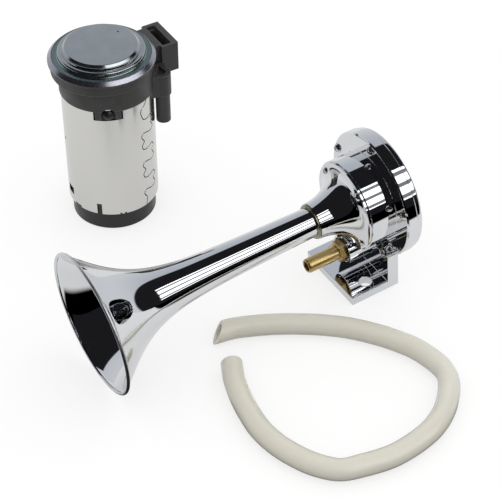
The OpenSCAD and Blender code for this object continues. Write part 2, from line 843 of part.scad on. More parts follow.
module brush_card() {
    hole_gap = 1.5;
    color("saddlebrown") on_pump() {
        tube(cap_top, cap_top + card_t, commutator_d / 2 + hole_gap, plug_r - brush_gap);
        for (turn = [0, 180]) {
            brush_box(turn);
        }
    }
}

module brush(turn) {
    color([0.2, 0.2, 0.2]) on_pump() rotate([0, 0, turn])
        translate([brush_in, -brush_w / 2, brush_low]) cube([brush_len, brush_w, brush_h]);
}

module brush_spring(turn) {
    spring_r = brush_w / 2 - brush_gap;
    wire_d = 0.7;
    color("gray") on_pump() rotate([0, 0, turn]) translate([0, 0, brush_low + brush_h / 2])
        washer(brush_out, spring_end, spring_r - wire_d, spring_r);
}

module brush_a() {
    brush(0);
}

module brush_b() {
    brush(180);
}

module brush_spring_a() {
    brush_spring(0);
}

module brush_spring_b() {
    brush_spring(180);
}

// The flange with its bevel and the step below it, round the pump's bore.
module head_flange() {
    under_edge = 0.8;
    step_r = head_step_d / 2;
    at_bore() rotate_extrude() polygon([[0, head_step_low], [step_r, head_step_low],
        [step_r, head_flange_low], [head_r - under_edge, head_flange_low],
        [head_r, head_flange_low + under_edge], [head_r, head_high - head_bevel],
        [head_r - head_bevel, head_high], [0, head_high]]);
}

pin_z = collar_low - pin_drop;
// Depth of the locking pin in the head, and how far its tab stands out from the collar.
pin_grip = 4;
tab_proud = 0.2;

function direction(turn) = [cos(turn), sin(turn)];
nipple = nipple_r * direction(nipple_turn);
// How much thicker the nipple is beside the web.
nipple_root = 1;
// Half the angle of the web at the can, and the directions of its corners on the nipple.
web_spread = 14;
web_near_turn = -108;
web_far_turn = 14;
socket_near = socket_y - socket_w / 2;
socket_back = socket_x - socket_len;
// Bridge between collar and socket: its overlap with each, and its distance from the socket's sides.
bridge_in = 6;
bridge_set = 2.5;

// The web that joins the nipple to the collar and to the socket.
module head_web() {
    sunk_r = nipple_d / 2 - join;
    translate([0, 0, web_low]) linear_extrude(web_high - web_low)
        polygon([can_r * direction(nipple_turn - web_spread), nipple + sunk_r * direction(web_near_turn),
            nipple + sunk_r * direction(web_far_turn), [socket_back + 2, socket_near + 2 * join],
            [can_r + 2, socket_near + 2 * join], can_r * direction(nipple_turn + web_spread)]);
}

module head_socket() {
    translate([socket_back, socket_near, socket_high - socket_h]) cube([socket_len, socket_w, socket_h]);
    translate([can_r - bridge_in, socket_near + bridge_set, collar_low])
        cube([socket_back + 2 * join - can_r + bridge_in, socket_w - 2 * bridge_set,
            socket_high - collar_low]);
}

module head_pocket() {
    wall_out = 4;
    wall_back = 1.6;
    wall_near = 1.4;
    wall_far = 2.6;
    step = 1;
    step_deep = 3;
    pocket_w = socket_w - wall_near - wall_far;
    pocket_x = socket_back + wall_back;
    pocket_y = socket_near + wall_near;
    pocket_len = socket_x - wall_out - pocket_x;
    translate([pocket_x + step, pocket_y, socket_high - pocket_deep])
        cube([pocket_len - step, pocket_w - step, pocket_deep + join]);
    translate([pocket_x, pocket_y, socket_high - step_deep])
        cube([pocket_len, pocket_w, step_deep + join]);
}

module head_peg() {
    peg_at = [4.2, 4];
    peg_r = 1.5;
    peg_short = 4.5;
    translate([socket_back + peg_at.x, socket_near + peg_at.y, socket_high - pocket_deep - join])
        cylinder(h = pocket_deep - peg_short + join, r = peg_r, $fn = 32);
}

module head_tab() {
    rotate([0, 0, pin_turn]) intersection() {
        tube(collar_low - tab_h, collar_low + join, can_r + fit, collar_r + tab_proud);
        translate([0, -tab_w / 2, collar_low - tab_h]) cube([can_d, tab_w, tab_h + join]);
    }
}

// The ring-shaped room that the can's upper edge fills, less the key of the air duct.
module can_room() {
    difference() {
        tube(web_low - join, can_high + fit, can_inner, can_r + fit);
        rotate([0, 0, nipple_turn]) translate([can_inner - 2 * join, -key_w / 2, key_low])
            cube([can_wall + 4 * join, key_w, can_high]);
    }
}

// The air's way from below the lower plate to the nipple.
module head_duct() {
    rise = chamber_low - duct_z;
    lean = atan2(duct_x - rotor_r - plenum_deep / 2, rise);
    rotate([0, 0, nipple_turn]) {
        translate([nipple_r, 0, nipple_low - join])
            cylinder(h = duct_z + duct_r - nipple_low + 2 * join, r = nipple_bore_d / 2);
        translate([duct_x, 0, duct_z]) {
            translate([-duct_r, 0, 0]) rotate([0, 90, 0])
                cylinder(h = nipple_r - duct_x + duct_r, r = duct_r);
            rotate([0, -lean, 0]) cylinder(h = rise / cos(lean), r = riser_r);
        }
    }
}

// The shallow three-cornered pocket in the top of the web.
module web_pocket() {
    pocket_h = 3;
    pocket_r = 3.2;
    lean = 1.8;
    socket_wall = 1.4;
    can_corner = [-4.7, -0.4];
    translate([0, 0, web_high - pocket_h]) linear_extrude(pocket_h + join)
        polygon([nipple + can_corner, [nipple.x + lean, socket_near - socket_wall],
            nipple + [pocket_r, 0], nipple - [0, pocket_r]]);
}

// The hole of the locking pin, and the arch round it that is open below.
module pin_room() {
    rotate([0, 0, pin_turn]) translate([can_inner, 0, pin_z]) {
        translate([-pin_grip - join, 0, 0]) rotate([0, 90, 0])
            cylinder(h = pin_grip + 2 * join, r = pin_d / 2 + fit);
        translate([can_wall, 0, 0]) rotate([0, 90, 0]) cylinder(h = pin_grip, r = arch_d / 2);
        translate([can_wall, -arch_d / 2, -tab_h]) cube([pin_grip, arch_d, tab_h]);
    }
}

module pump_head() {
    color([0.29, 0.28, 0.28]) on_pump() {
        difference() {
            union() {
                difference() {
                    union() {
                        translate([0, 0, collar_low])
                            cylinder(h = head_flange_low - collar_low + join, r = collar_r);
                        head_flange();
                        head_web();
                        head_socket();
                        translate([nipple.x, nipple.y, nipple_low])
                            cylinder(h = web_low - nipple_low + join, r = nipple_d / 2);
                        translate([nipple.x, nipple.y, web_low])
                            cylinder(h = web_high - web_low, r = nipple_d / 2 + nipple_root);
                        translate([0, 0, plug_low]) cylinder(h = plug_len, r = plug_r);
                    }
                    can_room();
                    tube(plug_low - join, floor_low, bush_r + hub_wall, plug_r - plug_wall);
                }
                head_tab();
            }
            head_pocket();
            translate([0, 0, plug_low - join]) cylinder(h = chamber_low - plug_low + 2 * join, r = bush_r);
            at_bore() translate([0, 0, chamber_low]) cylinder(h = head_high, r = pump_ring_d / 2 + fit);
            at_bore() translate([0, 0, lid_low]) cylinder(h = head_high, r = lid_brim_d / 2 + fit);
            tube(chamber_low - plenum_deep, chamber_low + join, plenum_in, plenum_out);
            head_duct();
            web_pocket();
            pin_room();
        }
        head_peg();
    }
}

module locking_pin() {
    head_h = 2.2;
    color([0.12, 0.12, 0.12]) on_pump() rotate([0, 0, pin_turn])
        translate([can_r + fit, 0, pin_z]) mirror([1, 0, 0])
            spin() polygon(concat(dome(pin_head_d / 2, head_h),
                [[pin_d / 2, 0], [pin_d / 2, can_wall + pin_grip], [0, can_wall + pin_grip]]));
}

// A flat plate that closes the pump chamber, with a port at one side.
module pump_plate(low, hole_r, port_turn) {
    color("lightgray") on_pump() difference() {
        at_bore() translate([0, 0, low]) cylinder(h = plate_t, r = pump_ring_d / 2);
        translate([0, 0, low - join]) cylinder(h = plate_t + 2 * join, r = hole_r);
        rotate([0, 0, port_turn]) translate([port_at, 0, low - join])
            cylinder(h = plate_t + 2 * join, r = port_r);
    }
}

module lower_plate() {
    pump_plate(chamber_low, shaft_r + rim_gap, pump_offset_turn - 90);
}

module upper_plate() {
    pump_plate(ring_high, shaft_r / 2, pump_offset_turn + 90);
}

module pump_ring() {
    color("darkgray") on_pump() at_bore() tube(ring_low, ring_high, bore_d / 2, pump_ring_d / 2);
}

// Gap above and below the rotor, and direction of its first vane.
rotor_end_gap = 0.1;
vane_turn = 15;

// The vanes, grown sideways by a gap and lengthened at their ends and tips by another.
module vane_shapes(gap, over) {
    low = ring_low + 2 * rotor_end_gap - over;
    for (i = [0 : vanes - 1]) {
        rotate([0, 0, i * 360 / vanes + vane_turn]) translate([rotor_r - vane_len, -vane_t / 2 - gap, low])
            cube([vane_len + join, vane_t + 2 * gap, pump_ring_h - 4 * rotor_end_gap + 2 * over]);
    }
}

module pump_rotor() {
    color("darkslategray") on_pump() difference() {
        tube(ring_low + rotor_end_gap, ring_high - rotor_end_gap, shaft_r + fit, rotor_r);
        vane_shapes(fit, join);
    }
}

module vanes_set() {
    color("black") on_pump() intersection() {
        vane_shapes(0, 0);
        translate([0, 0, ring_low]) cylinder(h = pump_ring_h, r = rotor_r);
    }
}

// Where the air hole of the cover lies, seen from the shaft.
lid_hole = [14.1, 7.9];

module top_cover() {
    disc_r = lid_d / 2;
    plateau_r = lid_plateau_d / 2;
    brim_top = lid_low + lid_wall;
    shoulder_z = brim_top + lid_shoulder;
    // Bevel of the pressed edges, and the disc's upright wall with the fillet at its foot.
    edge = 0.6;
    foot_rise = 1.6;
    foot_r = 0.8;
    shoulder_r = disc_r - 2 * edge;
    // Width of the shoulder, and of the small tread halfway between it and the plateau.
    shoulder_w = 1.6;
    tread_w = 0.7;
    tread_z = (shoulder_z + lid_top) / 2;
    ledge_r = shoulder_r - shoulder_w;
    top = [[lid_brim_d / 2, lid_low], [lid_brim_d / 2, brim_top], [disc_r + foot_r, brim_top],
        [disc_r, brim_top + foot_r], [disc_r, brim_top + foot_rise], [shoulder_r, shoulder_z - edge / 2],
        [shoulder_r - edge, shoulder_z], [ledge_r, shoulder_z], [ledge_r - edge / 2, tread_z - edge / 2],
        [ledge_r - edge, tread_z], [ledge_r - tread_w - edge / 2, tread_z + edge / 2],
        [plateau_r, lid_top - edge], [plateau_r - edge, lid_top], [0, lid_top]];
    under = [[0, lid_top - lid_wall], [plateau_r - lid_wall, lid_top - lid_wall],
        [ledge_r - tread_w - lid_wall, tread_z - lid_wall], [ledge_r - lid_wall, shoulder_z - lid_wall],
        [shoulder_r - lid_wall, shoulder_z - lid_wall], [disc_r - lid_wall, brim_top + foot_rise - lid_wall],
        [disc_r - lid_wall, lid_low]];
    color([0.55, 0.58, 0.6]) on_pump() difference() {
        at_bore() rotate_extrude() polygon(concat(top, under));
        translate([lid_hole.x, lid_hole.y, lid_low])
            cylinder(h = lid_h + 2 * lid_wall, r = lid_hole_d / 2, $fn = 24);
    }
}

// The hose lies on the floor. Its middle line, in the whole's own frame.
hose_route = [[-23.5, -75.5], [-12.5, -77.5], [2.5, -83.5], [12.5, -88.5], [22, -94], [31, -100],
    [39, -106], [48, -114], [56, -123], [64.5, -134.5], [72.5, -149], [76, -161], [77, -172], [74, -183],
    [66.5, -193], [56.5, -202], [45, -208.5], [34, -212], [22, -214], [9.5, -214.5], [-5.5, -212],
    [-20, -207.5], [-30, -197.5], [-36.5, -185.5], [-41, -172.5], [-43, -158], [-42, -144],
    [-39.5, -129.5], [-35.5, -115.5], [-30, -103]];
hose_z = hose_d / 2;
hose_n = len(hose_route);

function unit(v) = v / norm(v);
function hose_way(i) = unit(hose_route[min(i + 1, hose_n - 1)] - hose_route[max(i - 1, 0)]);
function hose_point(i, k) = let (way = hose_way(i), turn = 180 / hose_sides + k * 360 / hose_sides,
    across = hose_d / 2 * cos(turn), up = hose_d / 2 * sin(turn))
    [hose_route[i].x - way.y * across, hose_route[i].y + way.x * across, hose_z + up];

module hose() {
    points = [for (i = [0 : hose_n - 1]) for (k = [0 : hose_sides - 1]) hose_point(i, k)];
    walls = [for (i = [0 : hose_n - 2]) for (k = [0 : hose_sides - 1])
        let (a = i * hose_sides + k, b = i * hose_sides + (k + 1) % hose_sides)
        [a, a + hose_sides, b + hose_sides, b]];
    start = [for (k = [0 : hose_sides - 1]) k];
    finish = [for (k = [hose_sides - 1 : -1 : 0]) (hose_n - 1) * hose_sides + k];
    color("antiquewhite") polyhedron(points = points, faces = concat(walls, [start, finish]));
}

horn_bell();
neck_ring();
front_cover();
front_cover_screws();
sound_housing();
throat_nozzle();
front_gasket();
diaphragm();
rear_gasket();
rear_cover();
flange_screws();
hose_barb();
barb_washer();
motor_can();
end_cap();
terminals();
magnets();
armature_shaft();
armature_core();
armature_windings();
commutator();
lower_bush();
upper_bush();
brush_card();
brush_a();
brush_b();
brush_spring_a();
brush_spring_b();
pump_head();
locking_pin();
lower_plate();
pump_ring();
pump_rotor();
vanes_set();
upper_plate();
top_cover();
hose();
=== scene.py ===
"""Looks of the electric air horn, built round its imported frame. +X runs along the trumpet, +Z up.

Sizes are written in millimetres, and MM turns them into the frame's metres.
"""
import json
import math

import bmesh
import bpy
import numpy as np
from mathutils import Matrix, Vector


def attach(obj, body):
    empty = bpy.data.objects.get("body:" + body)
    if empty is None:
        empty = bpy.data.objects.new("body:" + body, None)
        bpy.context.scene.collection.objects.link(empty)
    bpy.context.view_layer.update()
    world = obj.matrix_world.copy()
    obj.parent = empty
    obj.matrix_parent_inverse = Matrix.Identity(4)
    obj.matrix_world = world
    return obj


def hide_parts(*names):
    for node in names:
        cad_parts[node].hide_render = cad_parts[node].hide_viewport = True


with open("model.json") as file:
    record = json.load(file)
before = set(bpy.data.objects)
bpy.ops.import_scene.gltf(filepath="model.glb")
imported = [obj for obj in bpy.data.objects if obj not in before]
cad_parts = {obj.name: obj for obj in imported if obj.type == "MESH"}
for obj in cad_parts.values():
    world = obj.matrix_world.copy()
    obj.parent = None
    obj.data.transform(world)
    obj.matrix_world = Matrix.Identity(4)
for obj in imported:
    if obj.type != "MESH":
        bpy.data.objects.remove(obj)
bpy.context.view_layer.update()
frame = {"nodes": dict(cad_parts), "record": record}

MM = 0.001
KIT = "kit"
mounts = {m["name"]: m for m in frame["record"]["mounts"]}


# Sizes that several pieces and materials share

# How far the hose fitting lies under the trumpet's axis, and its mount from the trumpet's mouth
SPIGOT_DROP = 36.0 * MM
SPIGOT_MID = 160.75 * MM
TUBE_R = 9.6
TRUMPET_LEN = 153.6
COVER_X = 155.2
SEAT_GAP = 0.05
CAN_R = 30.0
# The head's rim and the top cover follow the pump's bore, this far off the can's axis
HEAD_RIM_AT = (-1.714, 1.030)
# Direction of the locking pin in degrees, and its height
PIN_TURN = 244
PIN_Z = 96.2


# Frames of the two machines, read from the mounts

def horn_frame():
    """Matrix from the trumpet's own frame, x from its mouth along its axis, to the whole's."""
    spigot = mounts["hose_spigot"]
    along = -Vector(spigot["axis"]).normalized()
    side = Vector((0, 1, 0))
    up = along.cross(side)
    mouth = Vector(spigot["pos_m"]) - along * SPIGOT_MID + up * SPIGOT_DROP
    turn = Matrix((along, side, up)).transposed().to_4x4()
    return Matrix.Translation(mouth) @ turn


HORN = horn_frame()
PUMP = Matrix.Translation(Vector(mounts["compressor_base"]["pos_m"]))


# Camera

CAM_TARGET = Vector((37.17, -13.24, 0.0)) * MM
CAM_AZIMUTH = math.radians(-31.091)
CAM_ELEVATION = math.radians(41.54)
CAM_DISTANCE = 1090.7 * MM
CAM_LENS = 118.89
CAM_SENSOR = 36
CAM_NEAR = 50 * MM
CAM_FAR = 20000 * MM


def look_back(azimuth, elevation):
    """Direction from the target to the camera."""
    return Vector((math.sin(azimuth) * math.cos(elevation), -math.cos(azimuth) * math.cos(elevation),
                   math.sin(elevation)))


BACK = look_back(CAM_AZIMUTH, CAM_ELEVATION)


def make_camera():
    camera = bpy.data.objects.new("camera", bpy.data.cameras.new("camera"))
    bpy.context.scene.collection.objects.link(camera)
    camera.data.lens = CAM_LENS
    camera.data.sensor_width = CAM_SENSOR
    camera.data.clip_start = CAM_NEAR
    camera.data.clip_end = CAM_FAR
    camera.location = CAM_TARGET + BACK * CAM_DISTANCE
    camera.rotation_mode = "QUATERNION"
    camera.rotation_quaternion = (-BACK).to_track_quat("-Z", "Y")
    bpy.context.scene.camera = camera


# Meshes

ON_AXIS = 1e-6


def new_object(name, verts, faces, smooth_angle=35):
    """A mesh object whose edges are sharp only past smooth_angle degrees."""
    mesh = bpy.data.meshes.new(name)
    mesh.from_pydata([tuple(v) for v in verts], [], faces)
    mesh.validate()
    obj = bpy.data.objects.new(name, mesh)
    bpy.context.scene.collection.objects.link(obj)
    smooth(obj, smooth_angle)
    return obj


def smooth(obj, angle):
    mesh = obj.data
    mesh.polygons.foreach_set("use_smooth", [True] * len(mesh.polygons))
    mesh.set_sharp_from_angle(angle=math.radians(angle))
    mesh.update()


def outward(obj):
    """Turns the faces outward."""
    bm = bmesh.new()
    bm.from_mesh(obj.data)
    bmesh.ops.recalc_face_normals(bm, faces=bm.faces)
    bm.to_mesh(obj.data)
    bm.free()


def join_into(target, other):
    """Moves another object's mesh into the target's."""
    bm = bmesh.new()
    bm.from_mesh(target.data)
    bm.from_mesh(other.data)
    bm.to_mesh(target.data)
    bm.free()
    bpy.data.objects.remove(other)


def carve(obj, *cutters):
    """Cuts closed meshes out of a piece."""
    for cutter in cutters:
        modifier = obj.modifiers.new("carve", "BOOLEAN")
        modifier.operation = "DIFFERENCE"
        modifier.solver = "EXACT"
        modifier.object = cutter
    solid = bpy.data.meshes.new_from_object(obj.evaluated_get(bpy.context.evaluated_depsgraph_get()))
    obj.modifiers.clear()
    obj.data = solid
    for cutter in cutters:
        bpy.data.objects.remove(cutter)


def curve_through(rows, fine):
    """A smooth line with fine steps a stretch. The first and the last row only steer its ends."""
    line = []
    for a, b, c, d in zip(rows, rows[1:], rows[2:], rows[3:]):
        for k in range(fine):
            t = k / fine
            line.append(0.5 * (2 * b + (c - a) * t + (2 * a - 5 * b + 4 * c - d) * t ** 2
                               + (3 * b - a - 3 * c + d) * t ** 3))
    return line + [rows[-2]]


def fillet(points, steps=6):
    """Rounds the corners of a closed outline. Each point is (x, y) or (x, y, radius)."""
    out = []
    n = len(points)
    for i, p in enumerate(points):
        if len(p) < 3:
            out.append(p)
            continue
        here = Vector(p[:2])
        before = (Vector(points[i - 1][:2]) - here).normalized()
        after = (Vector(points[(i + 1) % n][:2]) - here).normalized()
        half = math.acos(max(-1, min(1, before.dot(after)))) / 2
        reach = p[2] / math.tan(half)
        centre = here + (before + after).normalized() * (p[2] / math.sin(half))
        a = here + before * reach - centre
        b = here + after * reach - centre
        sweep = math.atan2(a.x * b.y - a.y * b.x, a.dot(b))
        for k in range(steps + 1):
            turn = sweep * k / steps
            c, s = math.cos(turn), math.sin(turn)
            out.append((centre.x + a.x * c - a.y * s, centre.y + a.x * s + a.y * c))
    return out


def place(x, y, z, axis):
    """A point of a turned piece: x along its axis."""
    return Vector((x, y, z)) if axis == "X" else Vector((y, z, x))


def lathe(name, outline, matrix, sides, axis="X", smooth_angle=35):
    """Turns a closed outline of (position along the axis, radius) about the axis."""
    verts, rings = [], []
    for x, r in outline:
        if r < ON_AXIS:
            rings.append([len(verts)] * sides)
            verts.append(place(x, 0, 0, axis))
            continue
        rings.append(list(range(len(verts), len(verts) + sides)))
        for k in range(sides):
            turn = 2 * math.pi * k / sides
            verts.append(place(x, r * math.cos(turn), r * math.sin(turn), axis))
    faces = []
    for i, ring in enumerate(rings):
        other = rings[(i + 1) % len(rings)]
        for k in range(sides):
            j = (k + 1) % sides
            corners = [ring[k], other[k], other[j], ring[j]]
            face = [c for n, c in enumerate(corners) if c != corners[n - 1]]
            if len(face) > 2:
                faces.append(face)
    obj = new_object(name, [matrix @ (v * MM) for v in verts], faces, smooth_angle)
    outward(obj)
    return obj


def rod(name, start, end, radius, matrix, sides, axis="X"):
    """A round cutter between two positions along the axis."""
    return lathe(name, [(start, 0), (start, radius), (end, radius), (end, 0)], matrix, sides, axis)


def block(name, low, high, matrix):
    """A plain cutter from its two corners."""
    corners = [(x, y, z) for x in (low[0], high[0]) for y in (low[1], high[1]) for z in (low[2], high[2])]
    faces = [[0, 1, 3, 2], [4, 6, 7, 5], [0, 4, 5, 1], [2, 3, 7, 6], [0, 2, 6, 4], [1, 5, 7, 3]]
    made = new_object(name, [matrix @ (Vector(c) * MM) for c in corners], faces)
    outward(made)
    return made


def finish_piece(obj, slot, node):
    """Gives a piece the material of its slot and its body, and hides the CAD node that it stands for."""
    obj.data.materials.clear()
    obj.data.materials.append(MATERIALS[slot])
    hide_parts(node)
    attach(obj, KIT)


def paint_faces(obj, material, picked):
    """Gives the picked faces a second material. picked says yes or no for each face."""
    obj.data.materials.append(material)
    for face, pick in zip(obj.data.polygons, picked):
        face.material_index = int(pick)


# Nodes of materials and of the world

SCALAR_RESULTS = ("DOT_PRODUCT", "LENGTH", "DISTANCE")


def feed(tree, socket, value):
    """Links a socket to another one, or sets it. A colour's three numbers get their alpha."""
    if isinstance(value, bpy.types.NodeSocket):
        tree.links.new(value, socket)
    elif socket.type == "RGBA":
        socket.default_value = (*value, 1)
    else:
        socket.default_value = value


def math_node(tree, operation, a, b=None):
    made = tree.nodes.new("ShaderNodeMath")
    made.operation = operation
    feed(tree, made.inputs[0], a)
    if b is not None:
        feed(tree, made.inputs[1], b)
    return made.outputs[0]


def vector_node(tree, operation, a, b=None):
    made = tree.nodes.new("ShaderNodeVectorMath")
    made.operation = operation
    feed(tree, made.inputs[0], a)
    if b is not None:
        feed(tree, made.inputs[1], b)
    return made.outputs["Value" if operation in SCALAR_RESULTS else "Vector"]


def split_node(tree, vector):
    """The x, y and z of a vector."""
    made = tree.nodes.new("ShaderNodeSeparateXYZ")
    tree.links.new(vector, made.inputs[0])
    return made.outputs


def smoothstep(tree, value, low, high):
    """0 below low, 1 above high, and a soft rise between them."""
    spread = tree.nodes.new("ShaderNodeMapRange")
    spread.interpolation_type = "SMOOTHSTEP"
    spread.inputs["From Min"].default_value = low
    spread.inputs["From Max"].default_value = high
    tree.links.new(value, spread.inputs["Value"])
    return spread.outputs["Result"]


def between(tree, value, low, high, soft):
    """1 inside low to high, 0 outside, with soft edges."""
    rise = smoothstep(tree, value, low - soft, low + soft)
    fall = smoothstep(tree, value, high - soft, high + soft)
    return math_node(tree, "SUBTRACT", rise, fall)


def mix(tree, factor, a, b, kind="RGBA", blend="MIX"):
    """a where factor is 0 and b where it is 1: colours, or numbers where kind is FLOAT."""
    made = tree.nodes.new("ShaderNodeMix")
    made.data_type = kind
    made.blend_type = blend
    feed(tree, made.inputs["Factor"], factor)
    feed(tree, made.inputs["A"], a)
    feed(tree, made.inputs["B"], b)
    return made.outputs["Result"]


# Materials

NOISE_SPAN = (0.35, 0.65)


class Shader:
    """A material's node tree, with short calls for the nodes used here."""

    def __init__(self, name):
        self.material = bpy.data.materials.new(name)
        self.material.use_nodes = True
        self.tree = self.material.node_tree
        self.bsdf = self.tree.nodes["Principled BSDF"]
        self.coords = self.tree.nodes.new("ShaderNodeTexCoord").outputs["Object"]
        self.round_normal = None

    def node(self, kind, **settings):
        made = self.tree.nodes.new(kind)
        for key, value in settings.items():
            setattr(made, key, value)
        return made

    def link(self, source, target):
        self.tree.links.new(source, target)

    def set(self, **values):
        """Sets the shader's own sockets. An underscore in a name stands for a space."""
        for key, value in values.items():
            self.bsdf.inputs[key.replace("_", " ")].default_value = value

    def noise(self, scale, detail=3, stretch=(1, 1, 1)):
        mapping = self.node("ShaderNodeMapping")
        mapping.inputs["Scale"].default_value = stretch
        self.link(self.coords, mapping.inputs["Vector"])
        noise = self.node("ShaderNodeTexNoise")
        noise.inputs["Scale"].default_value = scale
        noise.inputs["Detail"].default_value = detail
        self.link(mapping.outputs["Vector"], noise.inputs["Vector"])
        return noise.outputs["Fac"]

    def ramp(self, source, low, high, at=NOISE_SPAN):
        """Maps a factor to a number between low and high."""
        spread = self.node("ShaderNodeMapRange")
        spread.inputs["From Min"].default_value = at[0]
        spread.inputs["From Max"].default_value = at[1]
        spread.inputs["To Min"].default_value = low
        spread.inputs["To Max"].default_value = high
        self.link(source, spread.inputs["Value"])
        return spread.outputs["Result"]

    def tint(self, source, low, high, at=NOISE_SPAN):
        """Maps a factor to a colour between low and high."""
        return mix(self.tree, self.ramp(source, 0, 1, at), low, high)

    def bump(self, source, height, strength):
        """Raises the skin by up to height, on the rounded normal where there is one."""
        bump = self.node("ShaderNodeBump")
        bump.inputs["Strength"].default_value = strength
        bump.inputs["Distance"].default_value = height
        self.link(source, bump.inputs["Height"])
        if self.round_normal is not None:
            self.link(self.round_normal, bump.inputs["Normal"])
        self.link(bump.outputs["Normal"], self.bsdf.inputs["Normal"])

    def edges(self, radius, samples=6):
        """Rounds the edges' shading. Returns the cosine of each point's lean, which is 1 off the edges."""
        bevel = self.node("ShaderNodeBevel", samples=samples)
        bevel.inputs["Radius"].default_value = radius
        self.round_normal = bevel.outputs["Normal"]
        true_normal = self.node("ShaderNodeNewGeometry").outputs["True Normal"]
        return vector_node(self.tree, "DOT_PRODUCT", self.round_normal, true_normal)

    def around(self, centre):
        """Each point's distance from the upright line through a place, and its height over that place."""
        away = vector_node(self.tree, "SUBTRACT", self.coords, centre)
        level = vector_node(self.tree, "MULTIPLY", away, (1, 1, 0))
        return vector_node(self.tree, "LENGTH", level), split_node(self.tree, away)["Z"]

    def color(self, source):
        self.link(source, self.bsdf.inputs["Base Color"])

    def roughness(self, source):
        self.link(source, self.bsdf.inputs["Roughness"])


def chrome(name, edge=0.0):
    """Plated metal with a slightly wavy skin and the faintest haze, its edges rounded by edge."""
    s = Shader(name)
    s.set(Metallic=1.0)
    s.color(s.tint(s.noise(18), (0.74, 0.755, 0.78), (0.80, 0.81, 0.83)))
    s.roughness(s.ramp(s.noise(240, 4), 0.015, 0.05))
    if edge:
        s.edges(edge)
    s.bump(s.noise(110, 2), 0.02 * MM, 0.35)
    return s.material


def metal(name, low, high, rough, scale=60, edge=0.0, stretch=(1, 1, 1)):
    """Plain metal with a mottled colour and a fine grain."""
    s = Shader(name)
    s.set(Metallic=1.0)
    s.color(s.tint(s.noise(scale, stretch=stretch), low, high))
    s.roughness(s.ramp(s.noise(scale * 3, 4, stretch), *rough))
    if edge:
        s.edges(edge)
    s.bump(s.noise(900), 0.02 * MM, 0.6)
    return s.material


def plastic(name, low, high, rough):
    """Moulded plastic with a fine spark-eroded grain."""
    s = Shader(name)
    s.color(s.tint(s.noise(45), low, high))
    s.roughness(s.ramp(s.noise(180, 4), *rough))
    s.bump(s.noise(1400, 2), 0.03 * MM, 0.6)
    return s.material


def milky(name):
    """Translucent hose: lets light through, with a soft gloss and fine unevenness."""
    s = Shader(name)
    s.set(Subsurface_Weight=0.6, Subsurface_Radius=(1.0, 0.9, 0.7), Subsurface_Scale=6 * MM,
          Transmission_Weight=0.08, IOR=1.42, Coat_Weight=0.4, Coat_Roughness=0.05, Coat_IOR=1.6)
    s.color(s.tint(s.noise(14, 2), (0.84, 0.795, 0.67), (0.88, 0.835, 0.715)))
    s.roughness(s.ramp(s.noise(160), 0.14, 0.24))
    s.bump(s.noise(420, 2), 0.02 * MM, 0.25)
    return s.material


def lid_plate(name):
    """Zinc plate with a bluish passivated skin."""
    s = Shader(name)
    s.set(Metallic=1.0)
    s.color(s.tint(s.noise(70, 4), (0.40, 0.435, 0.45), (0.44, 0.47, 0.48)))
    s.roughness(s.ramp(s.noise(200), 0.13, 0.19))
    s.bump(s.noise(500, 2), 0.008 * MM, 0.25)
    return s.material


# Edges pale with a painted highlight that also stands for wear: their rounding, the lean at which they pale,
# and how much they do
HEAD_EDGE = 0.7 * MM
EDGE_LEAN = (0.80, 0.995)
EDGE_HIGHLIGHT_AND_WEAR = 0.55
# The polished rim lies outside this radius and over this height
HEAD_RIM_R = 31.9
HEAD_RIM_Z = 121.15
HEAD_RIM_SOFT = (0.1, 0.15)
RIM_METAL = (0.40, 0.40, 0.46)
RIM_ROUGH = 0.24
# Deep shade lies within ARCH_R of the locking pin, and inside the can
PIN_R = 30.4
ARCH_R = 5.1
SHADE_SOFT = 0.2
DEEP_SHADE = (0.004, 0.004, 0.004)


def head_plastic(name):
    """Grey moulded plastic, paler on its edges with a painted highlight that also stands for wear, with the
    polished rim round the top cover.

    It is black where the photograph shows deep shade: round the locking pin and inside the can.
    """
    s = Shader(name)
    lean = s.edges(HEAD_EDGE, samples=8)
    grey = s.tint(s.noise(45), (0.040, 0.038, 0.037), (0.052, 0.049, 0.048))
    # Painted edge highlight, which also stands for wear: a paler colour is added where the rounded normal
    # leans off the true one
    pale = s.tint(lean, (0.20, 0.195, 0.19), (0.0, 0.0, 0.0), at=EDGE_LEAN)
    edged = mix(s.tree, EDGE_HIGHLIGHT_AND_WEAR, grey, pale, blend="ADD")

    off_middle, over_base = s.around(PUMP.translation + Vector((*HEAD_RIM_AT, 0)) * MM)
    soft_out, soft_up = HEAD_RIM_SOFT
    outer = smoothstep(s.tree, off_middle, (HEAD_RIM_R - soft_out) * MM, HEAD_RIM_R * MM)
    upper = smoothstep(s.tree, over_base, (HEAD_RIM_Z - soft_up) * MM, HEAD_RIM_Z * MM)
    rim = math_node(s.tree, "MULTIPLY", outer, upper)

    pin_at = PUMP @ (Matrix.Rotation(math.radians(PIN_TURN), 3, "Z") @ Vector((PIN_R, 0, PIN_Z)) * MM)
    off_pin = vector_node(s.tree, "DISTANCE", s.coords, pin_at)
    off_axis, _ = s.around(PUMP.translation)
    past_arch = smoothstep(s.tree, off_pin, (ARCH_R - SHADE_SOFT) * MM, ARCH_R * MM)
    past_can = smoothstep(s.tree, off_axis, (CAN_R - SHADE_SOFT) * MM, CAN_R * MM)
    open_skin = math_node(s.tree, "MULTIPLY", past_arch, past_can)

    s.color(mix(s.tree, rim, mix(s.tree, open_skin, DEEP_SHADE, edged), RIM_METAL))
    s.link(rim, s.bsdf.inputs["Metallic"])
    s.roughness(mix(s.tree, rim, s.ramp(s.noise(180, 4), 0.34, 0.5), RIM_ROUGH, kind="FLOAT"))
    s.bump(s.noise(1300, 2), 0.03 * MM, 0.5)
    return s.material


